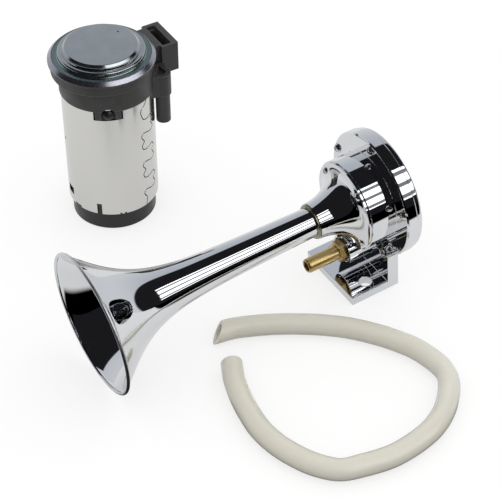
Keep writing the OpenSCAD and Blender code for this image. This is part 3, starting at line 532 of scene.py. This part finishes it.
# Each plain finish: its low colour, its high colour and its range of roughness
METALS = {
    "neck_brass": ((0.30, 0.28, 0.19), (0.40, 0.37, 0.25), (0.22, 0.34)),
    "barb_brass": ((0.42, 0.29, 0.11), (0.62, 0.46, 0.20), (0.24, 0.36)),
    "screw_steel": ((0.70, 0.71, 0.72), (0.80, 0.80, 0.81), (0.10, 0.18)),
    "spring_steel": ((0.55, 0.57, 0.60), (0.64, 0.66, 0.68), (0.15, 0.3)),
    "nickel": ((0.69, 0.685, 0.665), (0.72, 0.715, 0.695), (0.12, 0.17)),
    "terminal_brass": ((0.72, 0.60, 0.34), (0.80, 0.68, 0.42), (0.2, 0.35)),
    "core_steel": ((0.30, 0.31, 0.33), (0.40, 0.41, 0.43), (0.3, 0.5)),
    "copper": ((0.66, 0.30, 0.14), (0.78, 0.38, 0.20), (0.2, 0.35)),
    "commutator_copper": ((0.66, 0.38, 0.22), (0.75, 0.45, 0.28), (0.2, 0.35)),
    "bronze": ((0.50, 0.38, 0.20), (0.58, 0.45, 0.26), (0.35, 0.5)),
    "plate_steel": ((0.55, 0.56, 0.57), (0.66, 0.67, 0.68), (0.2, 0.35)),
}
PLASTICS = {
    "nozzle": ((0.72, 0.64, 0.46), (0.80, 0.72, 0.55), (0.3, 0.45)),
    "gasket": ((0.02, 0.02, 0.02), (0.03, 0.03, 0.03), (0.6, 0.8)),
    "fibre": ((0.05, 0.035, 0.028), (0.07, 0.05, 0.04), (0.5, 0.7)),
    "black_plastic": ((0.007, 0.007, 0.0075), (0.011, 0.011, 0.0115), (0.26, 0.4)),
    "ferrite": ((0.05, 0.05, 0.055), (0.08, 0.08, 0.09), (0.55, 0.75)),
    "card_fibre": ((0.28, 0.16, 0.08), (0.36, 0.22, 0.12), (0.5, 0.7)),
    "carbon": ((0.03, 0.03, 0.033), (0.05, 0.05, 0.055), (0.4, 0.6)),
}
# Streaked in colour along the fitting, mottled along the can, and rounded at the screws' edges
METAL_SETTINGS = {
    "barb_brass": {"scale": 400, "stretch": (0.05, 1, 1)},
    "nickel": {"scale": 20, "stretch": (1, 1, 0.3)},
    "screw_steel": {"edge": 0.3 * MM},
}
MATERIALS = {name: metal(name, *look, **METAL_SETTINGS.get(name, {})) for name, look in METALS.items()}
MATERIALS.update({name: plastic(name, *look) for name, look in PLASTICS.items()})
MATERIALS["chrome"] = chrome("chrome")
MATERIALS["grey_plastic"] = head_plastic("grey_plastic")
MATERIALS["zinc_plate"] = lid_plate("zinc_plate")
MATERIALS["milky_hose"] = milky("milky_hose")

# Finishes of some faces or nodes only
BRIM_ZINC = metal("brim_zinc", (0.14, 0.20, 0.20), (0.19, 0.26, 0.26), (0.22, 0.32))
SEAM_GAP = plastic("seam_gap", (0.02, 0.02, 0.02), (0.03, 0.03, 0.03), (0.5, 0.7))
LIP_CHROME = metal("lip_chrome", (0.72, 0.73, 0.75), (0.78, 0.79, 0.80), (0.34, 0.42))
EDGED_CHROME = chrome("edged_chrome", edge=0.6 * MM)
EDGED_NODES = ("sound_housing", "rear_cover")


def dress_cad_nodes():
    """Gives every CAD node the material of its slot."""
    for part in frame["record"]["subparts"]:
        name = part["node"]
        looks = frame["nodes"][name].data.materials
        looks.clear()
        looks.append(EDGED_CHROME if name in EDGED_NODES else MATERIALS[part["material_slot"]])


# Hose

HOSE_R = 6.75
HOSE_BORE_R = 4.5
HOSE_ROUTE = [(-23.5, -75.5), (-12.5, -77.5), (2.5, -83.5), (12.5, -88.5), (22, -94), (31, -100), (39, -106),
              (48, -114), (56, -123), (64.5, -134.5), (72.5, -149), (76, -161), (77, -172), (74, -183),
              (66.5, -193), (56.5, -202), (45, -208.5), (34, -212), (22, -214), (9.5, -214.5), (-5.5, -212),
              (-20, -207.5), (-30, -197.5), (-36.5, -185.5), (-41, -172.5), (-43, -158), (-42, -144),
              (-39.5, -129.5), (-35.5, -115.5), (-30, -103)]
HOSE_SIDES = 48
HOSE_FINE = 20
# Where the hose kinks, how deep each dent and crease is, and how far they reach along it
HOSE_KINKS = [(75, -176), (-18, -206)]
KINK_SINK = 0.9
DENT_REACH = 6.0
CREASE_REACH = 1.1
# The slanted cut of its first end, across and upward, as shares of the radius
END_SLANT = 0.4
END_LEAN = 0.5


def on_floor(point):
    """Place of the hose's middle over a point of the floor."""
    return Vector((*point, HOSE_R)) * MM


def kink_depth(point, inside):
    """How far the hose's wall sinks at its kinks, in metres: a wide dent and a sharp crease at each.

    inside is 1 on the inner side of the bend.
    """
    depth = 0
    for kink in HOSE_KINKS:
        away = (point - on_floor(kink)).length / MM
        depth += KINK_SINK * math.exp(-(away / DENT_REACH) ** 2) * inside ** 2
        depth += KINK_SINK * math.exp(-(away / CREASE_REACH) ** 2) * inside
    return depth * MM


def hose_skin(path, radius):
    """Rings of points round the path, sunk at the kinks and slanted at the first end."""
    verts = []
    up = Vector((0, 0, 1))
    for i, p in enumerate(path):
        way = (path[min(i + 1, len(path) - 1)] - path[max(i - 1, 0)]).normalized()
        across = Vector((-way.y, way.x, 0))
        slant = max(0, 1 - i / HOSE_FINE)
        for k in range(HOSE_SIDES):
            turn = 2 * math.pi * k / HOSE_SIDES
            r = radius * MM - kink_depth(p, max(0, -math.cos(turn)))
            shift = slant * r * (END_SLANT * math.cos(turn) + END_LEAN * math.sin(turn))
            verts.append(p + (across * math.cos(turn) + up * math.sin(turn)) * r + way * shift)
    return verts


def hose_faces(rings):
    """Faces of an outer and an inner skin and of the two cut ends between them."""
    faces = []
    inner = rings * HOSE_SIDES
    last = (rings - 1) * HOSE_SIDES
    pairs = [(k, (k + 1) % HOSE_SIDES) for k in range(HOSE_SIDES)]
    for a in range(0, last, HOSE_SIDES):
        b = a + HOSE_SIDES
        for k, j in pairs:
            faces.append([a + k, b + k, b + j, a + j])
            faces.append([inner + a + j, inner + b + j, inner + b + k, inner + a + k])
    for k, j in pairs:
        faces.append([k, j, inner + j, inner + k])
        faces.append([last + j, last + k, inner + last + k, inner + last + j])
    return faces


def make_hose():
    route = [on_floor(point) for point in HOSE_ROUTE]
    path = curve_through([2 * route[0] - route[1]] + route + [2 * route[-1] - route[-2]], HOSE_FINE)
    verts = hose_skin(path, HOSE_R) + hose_skin(path, HOSE_BORE_R)
    hose = new_object("hose_tube", verts, hose_faces(len(path)))
    outward(hose)
    finish_piece(hose, "milky_hose", "hose")


# Trumpet

MOUTH_R = 46.1
WALL = 0.9
SPIGOT_END = 167.2
# The rolled lip's radius, its steps, and how far in its own finish reaches
LIP_R = 1.1
LIP_STEPS = 20
LIP_DEPTH = 1.8 * LIP_R
# The flare dies out over this length, by this power, on a tube that tapers by TUBE_TAPER to its end
FLARE_LEN = 28.0
FLARE_POWER = 1.3
TUBE_TAPER = 3.5
# Its steps crowd towards the mouth, and the inner wall moves back by a share of its own slant
FLARE_STEPS = 90
FLARE_CROWDING = 1.6
INNER_SHIFT = 0.5


def flare(x):
    """Outer radius of the trumpet at x from its mouth."""
    def fall(at):
        return math.exp(-(at / FLARE_LEN) ** FLARE_POWER)
    taper = TUBE_TAPER * (1 - x / TRUMPET_LEN)
    spread = MOUTH_R - LIP_R - TUBE_R - TUBE_TAPER
    return TUBE_R + taper + spread * (fall(x) - fall(TRUMPET_LEN) * x / TRUMPET_LEN)


def flare_normal(x):
    """Unit normal (along, out) of the flare."""
    step = 0.01
    slope = (flare(x + step) - flare(max(x - step, 0))) / (x + step - max(x - step, 0))
    size = math.hypot(1, slope)
    return -slope / size, 1 / size


def lip_outline(inner_end, outer_start):
    """The rolled lip, from the inside of the trumpet round the front to its outside."""
    cx, cr = LIP_R, MOUTH_R - LIP_R
    a = math.atan2(inner_end[1] - cr, inner_end[0] - cx)
    b = math.atan2(outer_start[1] - cr, outer_start[0] - cx)
    sweep = (a - b) % (2 * math.pi)
    turns = [a - sweep * k / LIP_STEPS for k in range(1, LIP_STEPS)]
    return [(cx + LIP_R * math.cos(turn), cr + LIP_R * math.sin(turn)) for turn in turns]


def on_lip(face):
    """Whether a face of the trumpet gets the lip's own finish."""
    at = HORN.inverted() @ face.center
    return at.x < 2 * LIP_R * MM and math.hypot(at.y, at.z) > (MOUTH_R - LIP_DEPTH) * MM


def make_bell():
    xs = [TRUMPET_LEN * (i / FLARE_STEPS) ** FLARE_CROWDING for i in range(FLARE_STEPS + 1)]
    xs = [x for x in xs if x > 2 * LIP_R]
    inner = []
    for x in xs:
        along, out = flare_normal(x)
        inner.append((x - along * WALL * INNER_SHIFT, flare(x) - out * WALL))
    outline = [(x, flare(x)) for x in xs] + [(SPIGOT_END, TUBE_R), (SPIGOT_END, TUBE_R - WALL)] + inner[::-1]
    outline += lip_outline(outline[-1], outline[0])
    bell = lathe("trumpet_bell", outline, HORN, sides=256, smooth_angle=50)
    finish_piece(bell, "chrome", "horn_bell")
    paint_faces(bell, LIP_CHROME, [on_lip(face) for face in bell.data.polygons])


COVER_LEN = 25.8
COVER_RIM = 1.6
COVER_NECK_R = 12.0
COVER_R = 28.75
COVER_RIM_WALL = 3.0
COVER_RECESS = 0.4
COVER_CHAMFER = 0.3
COVER_STEPS = 40


def make_cover():
    """Flared cover: a quarter of an ellipse outside and inside, with a flat rim."""
    end = COVER_X + COVER_LEN
    bore = TUBE_R + SEAT_GAP
    outer, inner = [], []
    for i in range(COVER_STEPS + 1):
        t = math.radians(90 * i / COVER_STEPS)
        outer.append((COVER_X + (COVER_LEN - COVER_RIM) * math.sin(t),
                      COVER_NECK_R + (COVER_R - COVER_NECK_R) * (1 - math.cos(t))))
        inner.append((COVER_X + (COVER_LEN - COVER_RECESS) * math.sin(t),
                      bore + (COVER_R - COVER_RIM_WALL - bore) * (1 - math.cos(t))))
    rim = [(end - COVER_CHAMFER, COVER_R), (end, COVER_R - COVER_CHAMFER), (end, COVER_R - COVER_RIM_WALL)]
    cover = lathe("trumpet_cover", outer + rim + inner[::-1], HORN, sides=192)
    finish_piece(cover, "chrome", "front_cover")


RING_R = 11.4
RING_EDGE = 0.6


def make_ring():
    bore = TUBE_R + SEAT_GAP
    outline = fillet([(TRUMPET_LEN, bore), (TRUMPET_LEN, RING_R, RING_EDGE), (COVER_X, RING_R, RING_EDGE),
                      (COVER_X, bore)])
    ring = lathe("trumpet_ring", outline, HORN, sides=96)
    finish_piece(ring, "neck_brass", "neck_ring")


BARB_TIP = 149.4
HEX_X = 172.1
HEX_END = 177.5
BARB_END = 190.0
BARB_R = 4.75
BARB_BORE_R = 3.2
THREAD_R = 4.8
THREAD_X = HEX_X + 1
TIP_LEN = 1.2
TIP_DROP = 0.6
TIP_EDGE = 0.2
BORE_CHAMFER = (0.5, 0.3)
SHOULDER = 0.5
HEX_R = 7.5
HEX_BORE_R = 4.25
HEX_CHAMFER = 0.9


def make_barb():
    """Brass tube with a chamfered mouth, and its hexagon with chamfered corners."""
    axis = HORN @ Matrix.Translation(Vector((0, 0, -SPIGOT_DROP)))
    bore_in, bore_out = BORE_CHAMFER
    outline = fillet([(BARB_TIP, BARB_BORE_R + bore_out, TIP_EDGE), (BARB_TIP, BARB_R - TIP_DROP, TIP_EDGE),
                      (BARB_TIP + TIP_LEN, BARB_R, SHOULDER), (THREAD_X, BARB_R), (THREAD_X, THREAD_R),
                      (BARB_END, THREAD_R), (BARB_END, BARB_BORE_R),
                      (BARB_TIP + bore_in, BARB_BORE_R, TIP_EDGE)], steps=4)
    barb = lathe("barb_tube", outline, axis, sides=96)
    nut_outline = [(HEX_X, HEX_R - HEX_CHAMFER), (HEX_X + HEX_CHAMFER / 2, HEX_R),
                   (HEX_END - HEX_CHAMFER / 2, HEX_R), (HEX_END, HEX_R - HEX_CHAMFER),
                   (HEX_END, HEX_BORE_R), (HEX_X, HEX_BORE_R)]
    join_into(barb, lathe("barb_nut", nut_outline, axis, sides=6, smooth_angle=20))
    finish_piece(barb, "barb_brass", "hose_barb")


# Compressor's top cover

LID_AT = PUMP @ Matrix.Translation(Vector((*HEAD_RIM_AT, 0)) * MM)
LID_LOW = 122.6
LID_SHEET = 1.0
BRIM_R = 31.8
BRIM_TOP = LID_LOW + LID_SHEET
SHOULDER_Z = 126.8
SHOULDER_R = 28.1
TREAD_Z = 128.4
TREAD_R = 25.3
LID_TOP = 129.9
PLATEAU_R = 23.1
LID_INSIDE_R = 27.2
# Half section as (height, radius, corner radius), from the brim up the steps to the axis
LID_ABOVE = [(LID_LOW, BRIM_R, 0.2), (BRIM_TOP, BRIM_R, 0.4), (BRIM_TOP, SHOULDER_R + 0.1, 0.8),
             (SHOULDER_Z, SHOULDER_R, 1.2), (SHOULDER_Z, TREAD_R, 0.35),
             (TREAD_Z - 0.05, TREAD_R - 0.25, 0.35), (TREAD_Z, TREAD_R - 0.8, 0.2),
             (LID_TOP, PLATEAU_R, 0.7), (LID_TOP, 0)]
# And back under the steps, one sheet lower
LID_UNDER = [(LID_TOP - LID_SHEET, 0), (LID_TOP - LID_SHEET, PLATEAU_R - 0.7), (127.35, 23.7),
             (SHOULDER_Z - LID_SHEET, 24.4), (SHOULDER_Z - LID_SHEET, 26.0), (124.2, LID_INSIDE_R),
             (LID_LOW, LID_INSIDE_R)]
LID_SMOOTH = 30
LID_HOLE_AT = (14.1, 7.9)
LID_HOLE_R = 0.6
LID_DRILL = (120, 132)
BRIM_FROM_R = 28.5
BRIM_FROM_Z = 123.3


def on_brim(face):
    """Whether a face of the top cover gets the brim's own finish."""
    away = face.center - LID_AT.translation
    return math.hypot(away.x, away.y) > BRIM_FROM_R * MM and face.center.z > BRIM_FROM_Z * MM


def make_lid():
    """Pressed cover with its steps and the small hole. Its brim has a finish of its own."""
    outline = fillet(LID_ABOVE + LID_UNDER)
    lid = lathe("pump_lid", outline, LID_AT, sides=192, axis="Z", smooth_angle=LID_SMOOTH)
    hole_at = PUMP @ Matrix.Translation(Vector((*LID_HOLE_AT, 0)) * MM)
    carve(lid, rod("hole", *LID_DRILL, LID_HOLE_R, hole_at, sides=24, axis="Z"))
    smooth(lid, LID_SMOOTH)
    finish_piece(lid, "zinc_plate", "top_cover")
    paint_faces(lid, BRIM_ZINC, [on_brim(face) for face in lid.data.polygons])


# Compressor's can with its jigsaw seam

CAN_WALL = 1.4
CAN_LOW = 14.4
CAN_HIGH = 105.4
SKIN_FROM_R = CAN_R - 1
# Direction in degrees, lower and upper edge over the can's foot, and width. The last is the tab's gap
CAN_WINDOWS = [(224.7, -1, 8.4, 3.4), (191, -1, 1.5, 6), (175, 6, 11.6, 7.4), (251.9, -1, 1.0, 1.3),
               (258, -1, 1.0, 1.3), (PIN_TURN, 77.5, 85.5, 18.8)]
WINDOW_REACH = (CAN_R - 4, CAN_R + 2)
# Direction in degrees, height over the floor and radius. The last holds the locking pin
CAN_DRILLS = [(169, 63.8, 1.0), (PIN_TURN, PIN_Z, 2.65)]
DRILL_REACH = (20, 35)
CAN_SMOOTH = 40

SEAM_TURN = 298.4
SEAM_TOP = 83.8
SEAM_PERIOD = 23.25
SEAM_COUNT = 3
# One period of the seam as (arc length, drop), and its head as (arc length, height)
SEAM_WAVE = [(4.9, 0), (7.0, 3.2), (4.2, 5.6), (6.7, 10.2), (3.1, 12.2), (-2.0, 10.8), (-5.1, 10.9),
             (-5.9, 13.4), (-3.8, 17.0), (-5.8, 19.6), (-5.0, 22.9), (-1.9, 24.0), (1.2, 23.7)]
SEAM_HEAD = [(0.6, 105.4), (0.2, 98.5), (-1.8, 95.2), (-5.4, 92.3), (-5.6, 89.0), (-3.5, 84.3), (0.3, 83.2),
             (2.6, 83.6)]
# The lowest period stops after so many points, and leaves the can's foot here
SEAM_LAST_POINTS = 9
SEAM_FOOT_ARC = -4.6
SEAM_FINE = 6
# The groove: half its width, half the width of its slopes, its depth, and how far past it is dark
SEAM_HALF = 0.22
SEAM_SOFT = 0.06
SEAM_DEEP = 0.4
SEAM_DARK = 0.1
# The can's skin has fine steps this far on both sides of the seam, and plain ones round the rest
SEAM_REACH = 12.5
SEAM_STEP = 0.2
PLAIN_STEPS = 132
HEIGHT_STEP = 0.25
# Lets a range of steps take in its end
STEP_SLACK = 0.01


def seam_points():
    """The seam's line on the can, as (arc length from its middle, height)."""
    points = list(SEAM_HEAD)
    for i in range(SEAM_COUNT):
        start = SEAM_TOP - SEAM_PERIOD * i
        wave = SEAM_WAVE if i < SEAM_COUNT - 1 else SEAM_WAVE[:SEAM_LAST_POINTS]
        points += [(arc, start - drop) for arc, drop in wave]
    points.append((SEAM_FOOT_ARC, CAN_LOW - 1))
    rows = [np.array(p) for p in [points[0]] + points + [points[-1]]]
    return np.array(curve_through(rows, SEAM_FINE))


def seam_distance(u, z, line):
    """Distance from each point (arc length, height) to the seam's line."""
    best = np.full(u.shape, np.inf)
    for a, b in zip(line, line[1:]):
        along = b - a
        t = np.clip(((u - a[0]) * along[0] + (z - a[1]) * along[1]) / (along @ along), 0, 1)
        best = np.minimum(best, np.hypot(u - a[0] - t * along[0], z - a[1] - t * along[1]))
    return best


def can_grid():
    """Arc lengths from the seam's middle and heights of the outer skin's points, finest at the seam."""
    girth = 2 * math.pi * CAN_R
    fine = np.arange(-SEAM_REACH, SEAM_REACH + STEP_SLACK, SEAM_STEP)
    plain = np.linspace(SEAM_REACH, girth - SEAM_REACH, PLAIN_STEPS)[1:-1]
    arcs = np.concatenate([fine, plain])
    heights = np.arange(CAN_LOW, CAN_HIGH + STEP_SLACK, HEIGHT_STEP)
    return np.meshgrid(np.where(arcs > girth / 2, arcs - girth, arcs), heights)


def on_can(radius, arc, height):
    """Places on the can at a radius, from arc lengths along its outer skin."""
    turn = math.radians(SEAM_TURN) + arc / CAN_R
    return np.stack([radius * np.cos(turn), radius * np.sin(turn), height], -1).reshape(-1, 3)


def can_faces(rows, columns):
    """Faces of the outer grid, then of the inner wall and of the two rims."""
    faces = []
    pairs = [(k, (k + 1) % columns) for k in range(columns)]
    for low in range(0, (rows - 1) * columns, columns):
        high = low + columns
        for k, j in pairs:
            faces.append([low + k, low + j, high + j, high + k])
    top = (rows - 1) * columns
    low, high = rows * columns, (rows + 1) * columns
    for k, j in pairs:
        faces.append([low + j, low + k, high + k, high + j])
        faces.append([k, low + k, low + j, j])
        faces.append([top + k, top + j, high + j, high + k])
    return faces


def can_cutters():
    """The slot, the notches, the crimps, the tab's gap and the round holes."""
    cutters = []
    near, far = WINDOW_REACH
    for turn, low, high, width in CAN_WINDOWS:
        turned = PUMP @ Matrix.Rotation(math.radians(turn), 4, "Z")
        cutters.append(block("window", (near, -width / 2, CAN_LOW + low), (far, width / 2, CAN_LOW + high),
                             turned))
    for turn, height, radius in CAN_DRILLS:
        turned = PUMP @ Matrix.Rotation(math.radians(turn), 4, "Z")
        bore = turned @ Matrix.Translation(Vector((0, 0, height)) * MM)
        cutters.append(rod("drill", *DRILL_REACH, radius, bore, sides=32))
    return cutters


def in_seam(can, line):
    """Says for each face of the can whether it lies in the seam."""
    back = PUMP.inverted()
    x, y, z = (np.array([back @ face.center for face in can.data.polygons]) / MM).T
    turn = (np.arctan2(y, x) - math.radians(SEAM_TURN) + math.pi) % (2 * math.pi) - math.pi
    near = (np.abs(turn * CAN_R) < SEAM_REACH) & (np.hypot(x, y) > SKIN_FROM_R)
    gap = np.full(len(x), np.inf)
    gap[near] = seam_distance(turn[near] * CAN_R, z[near], line)
    return gap < SEAM_HALF + SEAM_DARK


def make_can():
    """Rolled can with the jigsaw seam sunk into its skin."""
    line = seam_points()
    arc, height = can_grid()
    gap = seam_distance(arc, height, line)
    sunk = SEAM_DEEP * np.clip((SEAM_HALF + SEAM_SOFT - gap) / (2 * SEAM_SOFT), 0, 1)
    skins = [on_can(CAN_R - sunk, arc, height)]
    for row in (0, -1):
        skins.append(on_can(CAN_R - CAN_WALL, arc[0], height[row]))
    verts = [PUMP @ (Vector(v) * MM) for v in np.concatenate(skins)]
    can = new_object("motor_shell", verts, can_faces(*arc.shape), CAN_SMOOTH)
    outward(can)
    carve(can, *can_cutters())
    smooth(can, CAN_SMOOTH)
    finish_piece(can, "nickel", "motor_can")
    paint_faces(can, SEAM_GAP, in_seam(can, line))


# Light, and what the metal mirrors

WHITE = (1.0, 1.0, 1.0)
BLACK = (0.0, 0.0, 0.0)
# Light and room: the colours low down and high up, and the heights between which they change
SOFT_LIGHT = ((0.85, 0.85, 0.86), (1.05, 1.05, 1.04))
SOFT_SPAN = (-0.2, 1.0)
ROOM = ((0.68, 0.69, 0.71), (0.50, 0.53, 0.58))
ROOM_SPAN = (0.0, 0.8)
# The photographer's dark side takes in 84 degrees round its middle, and more towards +X
DARK_ROOM = (0.012, 0.012, 0.014)
DARK_CAP = math.cos(math.radians(84))
DARK_SOFT = 0.02
DARK_WIDENS_FROM = 0.42
DARK_WIDENS_BY = 0.55
# The lamp's turn about X, from straight up towards -Y, its span along X, and its dim stripes
LAMP_GLOW = (2.3, 2.3, 2.3)
LAMP_TURN = (math.radians(22), math.radians(75))
LAMP_X = (-0.15, 0.78)
LAMP_SOFT = 0.01
STRIPE_GLOW = (0.22, 0.23, 0.25)
STRIPES_PER_RADIAN = 2.9
STRIPE = (0.32, 0.68)
STRIPE_SOFT = 0.05


def mirrored_room(tree, direction, x, y, z):
    """What the metal sees: a pale room, dark on the photographer's side, and a striped lamp along X."""
    towards = vector_node(tree, "DOT_PRODUCT", direction, BACK)
    past = math_node(tree, "MAXIMUM", math_node(tree, "SUBTRACT", x, DARK_WIDENS_FROM), 0.0)
    deep = math_node(tree, "ADD", towards, math_node(tree, "MULTIPLY", past, DARK_WIDENS_BY))
    dark = smoothstep(tree, deep, DARK_CAP - DARK_SOFT, DARK_CAP + DARK_SOFT)
    room = mix(tree, dark, mix(tree, smoothstep(tree, z, *ROOM_SPAN), *ROOM), DARK_ROOM)

    turn = math_node(tree, "ARCTAN2", math_node(tree, "MULTIPLY", y, -1.0), z)
    lamp = math_node(tree, "MULTIPLY", between(tree, turn, *LAMP_TURN, LAMP_SOFT),
                     between(tree, x, *LAMP_X, LAMP_SOFT))
    phase = math_node(tree, "FRACT", math_node(tree, "MULTIPLY", turn, STRIPES_PER_RADIAN))
    stripe = between(tree, phase, *STRIPE, STRIPE_SOFT)
    return mix(tree, lamp, room, mix(tree, stripe, LAMP_GLOW, STRIPE_GLOW))


def make_world():
    """White to the camera, soft and even to the matt surfaces, and a room with a lamp to the metal."""
    world = bpy.data.worlds.new("studio")
    bpy.context.scene.world = world
    world.use_nodes = True
    tree = world.node_tree
    direction = tree.nodes.new("ShaderNodeTexCoord").outputs["Generated"]
    x, y, z = split_node(tree, direction)
    path = tree.nodes.new("ShaderNodeLightPath").outputs
    mirrored = math_node(tree, "MAXIMUM", path["Is Glossy Ray"], path["Is Transmission Ray"])
    soft = mix(tree, smoothstep(tree, z, *SOFT_SPAN), *SOFT_LIGHT)
    light = mix(tree, mirrored, soft, mirrored_room(tree, direction, x, y, z))
    background = tree.nodes["Background"]
    feed(tree, background.inputs["Color"], mix(tree, path["Is Camera Ray"], light, WHITE))
    background.inputs["Strength"].default_value = 1.0


# Floor

FLOOR_HALF = 6000 * MM
PAPER = (0.30, 0.30, 0.30)
# How far in front of the origin the paper ends for the metal
PAPER_EDGE = 129 * MM
PAPER_SOFT = 10 * MM
CAMERA_GLOW = 0.72
GLOSSY_GLOW = 0.52


def paper():
    """White paper that keeps a faint shadow, and that the metal sees end in front of the object."""
    material = bpy.data.materials.new("paper")
    material.use_nodes = True
    tree = material.node_tree
    tree.nodes.remove(tree.nodes["Principled BSDF"])
    coords = tree.nodes.new("ShaderNodeTexCoord").outputs["Object"]
    path = tree.nodes.new("ShaderNodeLightPath").outputs
    front = Vector((BACK.x, BACK.y, 0)).normalized()
    towards = vector_node(tree, "DOT_PRODUCT", coords, front)
    beyond = smoothstep(tree, towards, PAPER_EDGE - PAPER_SOFT, PAPER_EDGE + PAPER_SOFT)
    dim = math_node(tree, "MULTIPLY", beyond, path["Is Glossy Ray"])

    mirrored = math_node(tree, "MAXIMUM", path["Is Glossy Ray"], path["Is Transmission Ray"])
    seen = math_node(tree, "MAXIMUM", path["Is Camera Ray"], mirrored)
    less = math_node(tree, "MULTIPLY", path["Is Glossy Ray"], CAMERA_GLOW - GLOSSY_GLOW)
    glow = tree.nodes.new("ShaderNodeEmission")
    lit = math_node(tree, "MULTIPLY", seen, math_node(tree, "SUBTRACT", 1.0, dim))
    strength = math_node(tree, "MULTIPLY", lit, math_node(tree, "SUBTRACT", CAMERA_GLOW, less))
    feed(tree, glow.inputs["Strength"], strength)

    matt = tree.nodes.new("ShaderNodeBsdfDiffuse")
    feed(tree, matt.inputs["Color"], mix(tree, dim, PAPER, BLACK))
    both = tree.nodes.new("ShaderNodeAddShader")
    tree.links.new(matt.outputs[0], both.inputs[0])
    tree.links.new(glow.outputs[0], both.inputs[1])
    tree.links.new(both.outputs[0], tree.nodes["Material Output"].inputs["Surface"])
    return material


def make_floor():
    half = FLOOR_HALF
    floor = new_object("floor", [(-half, -half, 0), (half, -half, 0), (half, half, 0), (-half, half, 0)],
                       [[0, 1, 2, 3]])
    floor.data.materials.append(paper())


make_camera()
make_hose()
dress_cad_nodes()
make_bell()
make_cover()
make_ring()
make_barb()
make_lid()
make_can()
make_floor()
make_world()
bpy.context.scene.view_settings.view_transform = "Standard"
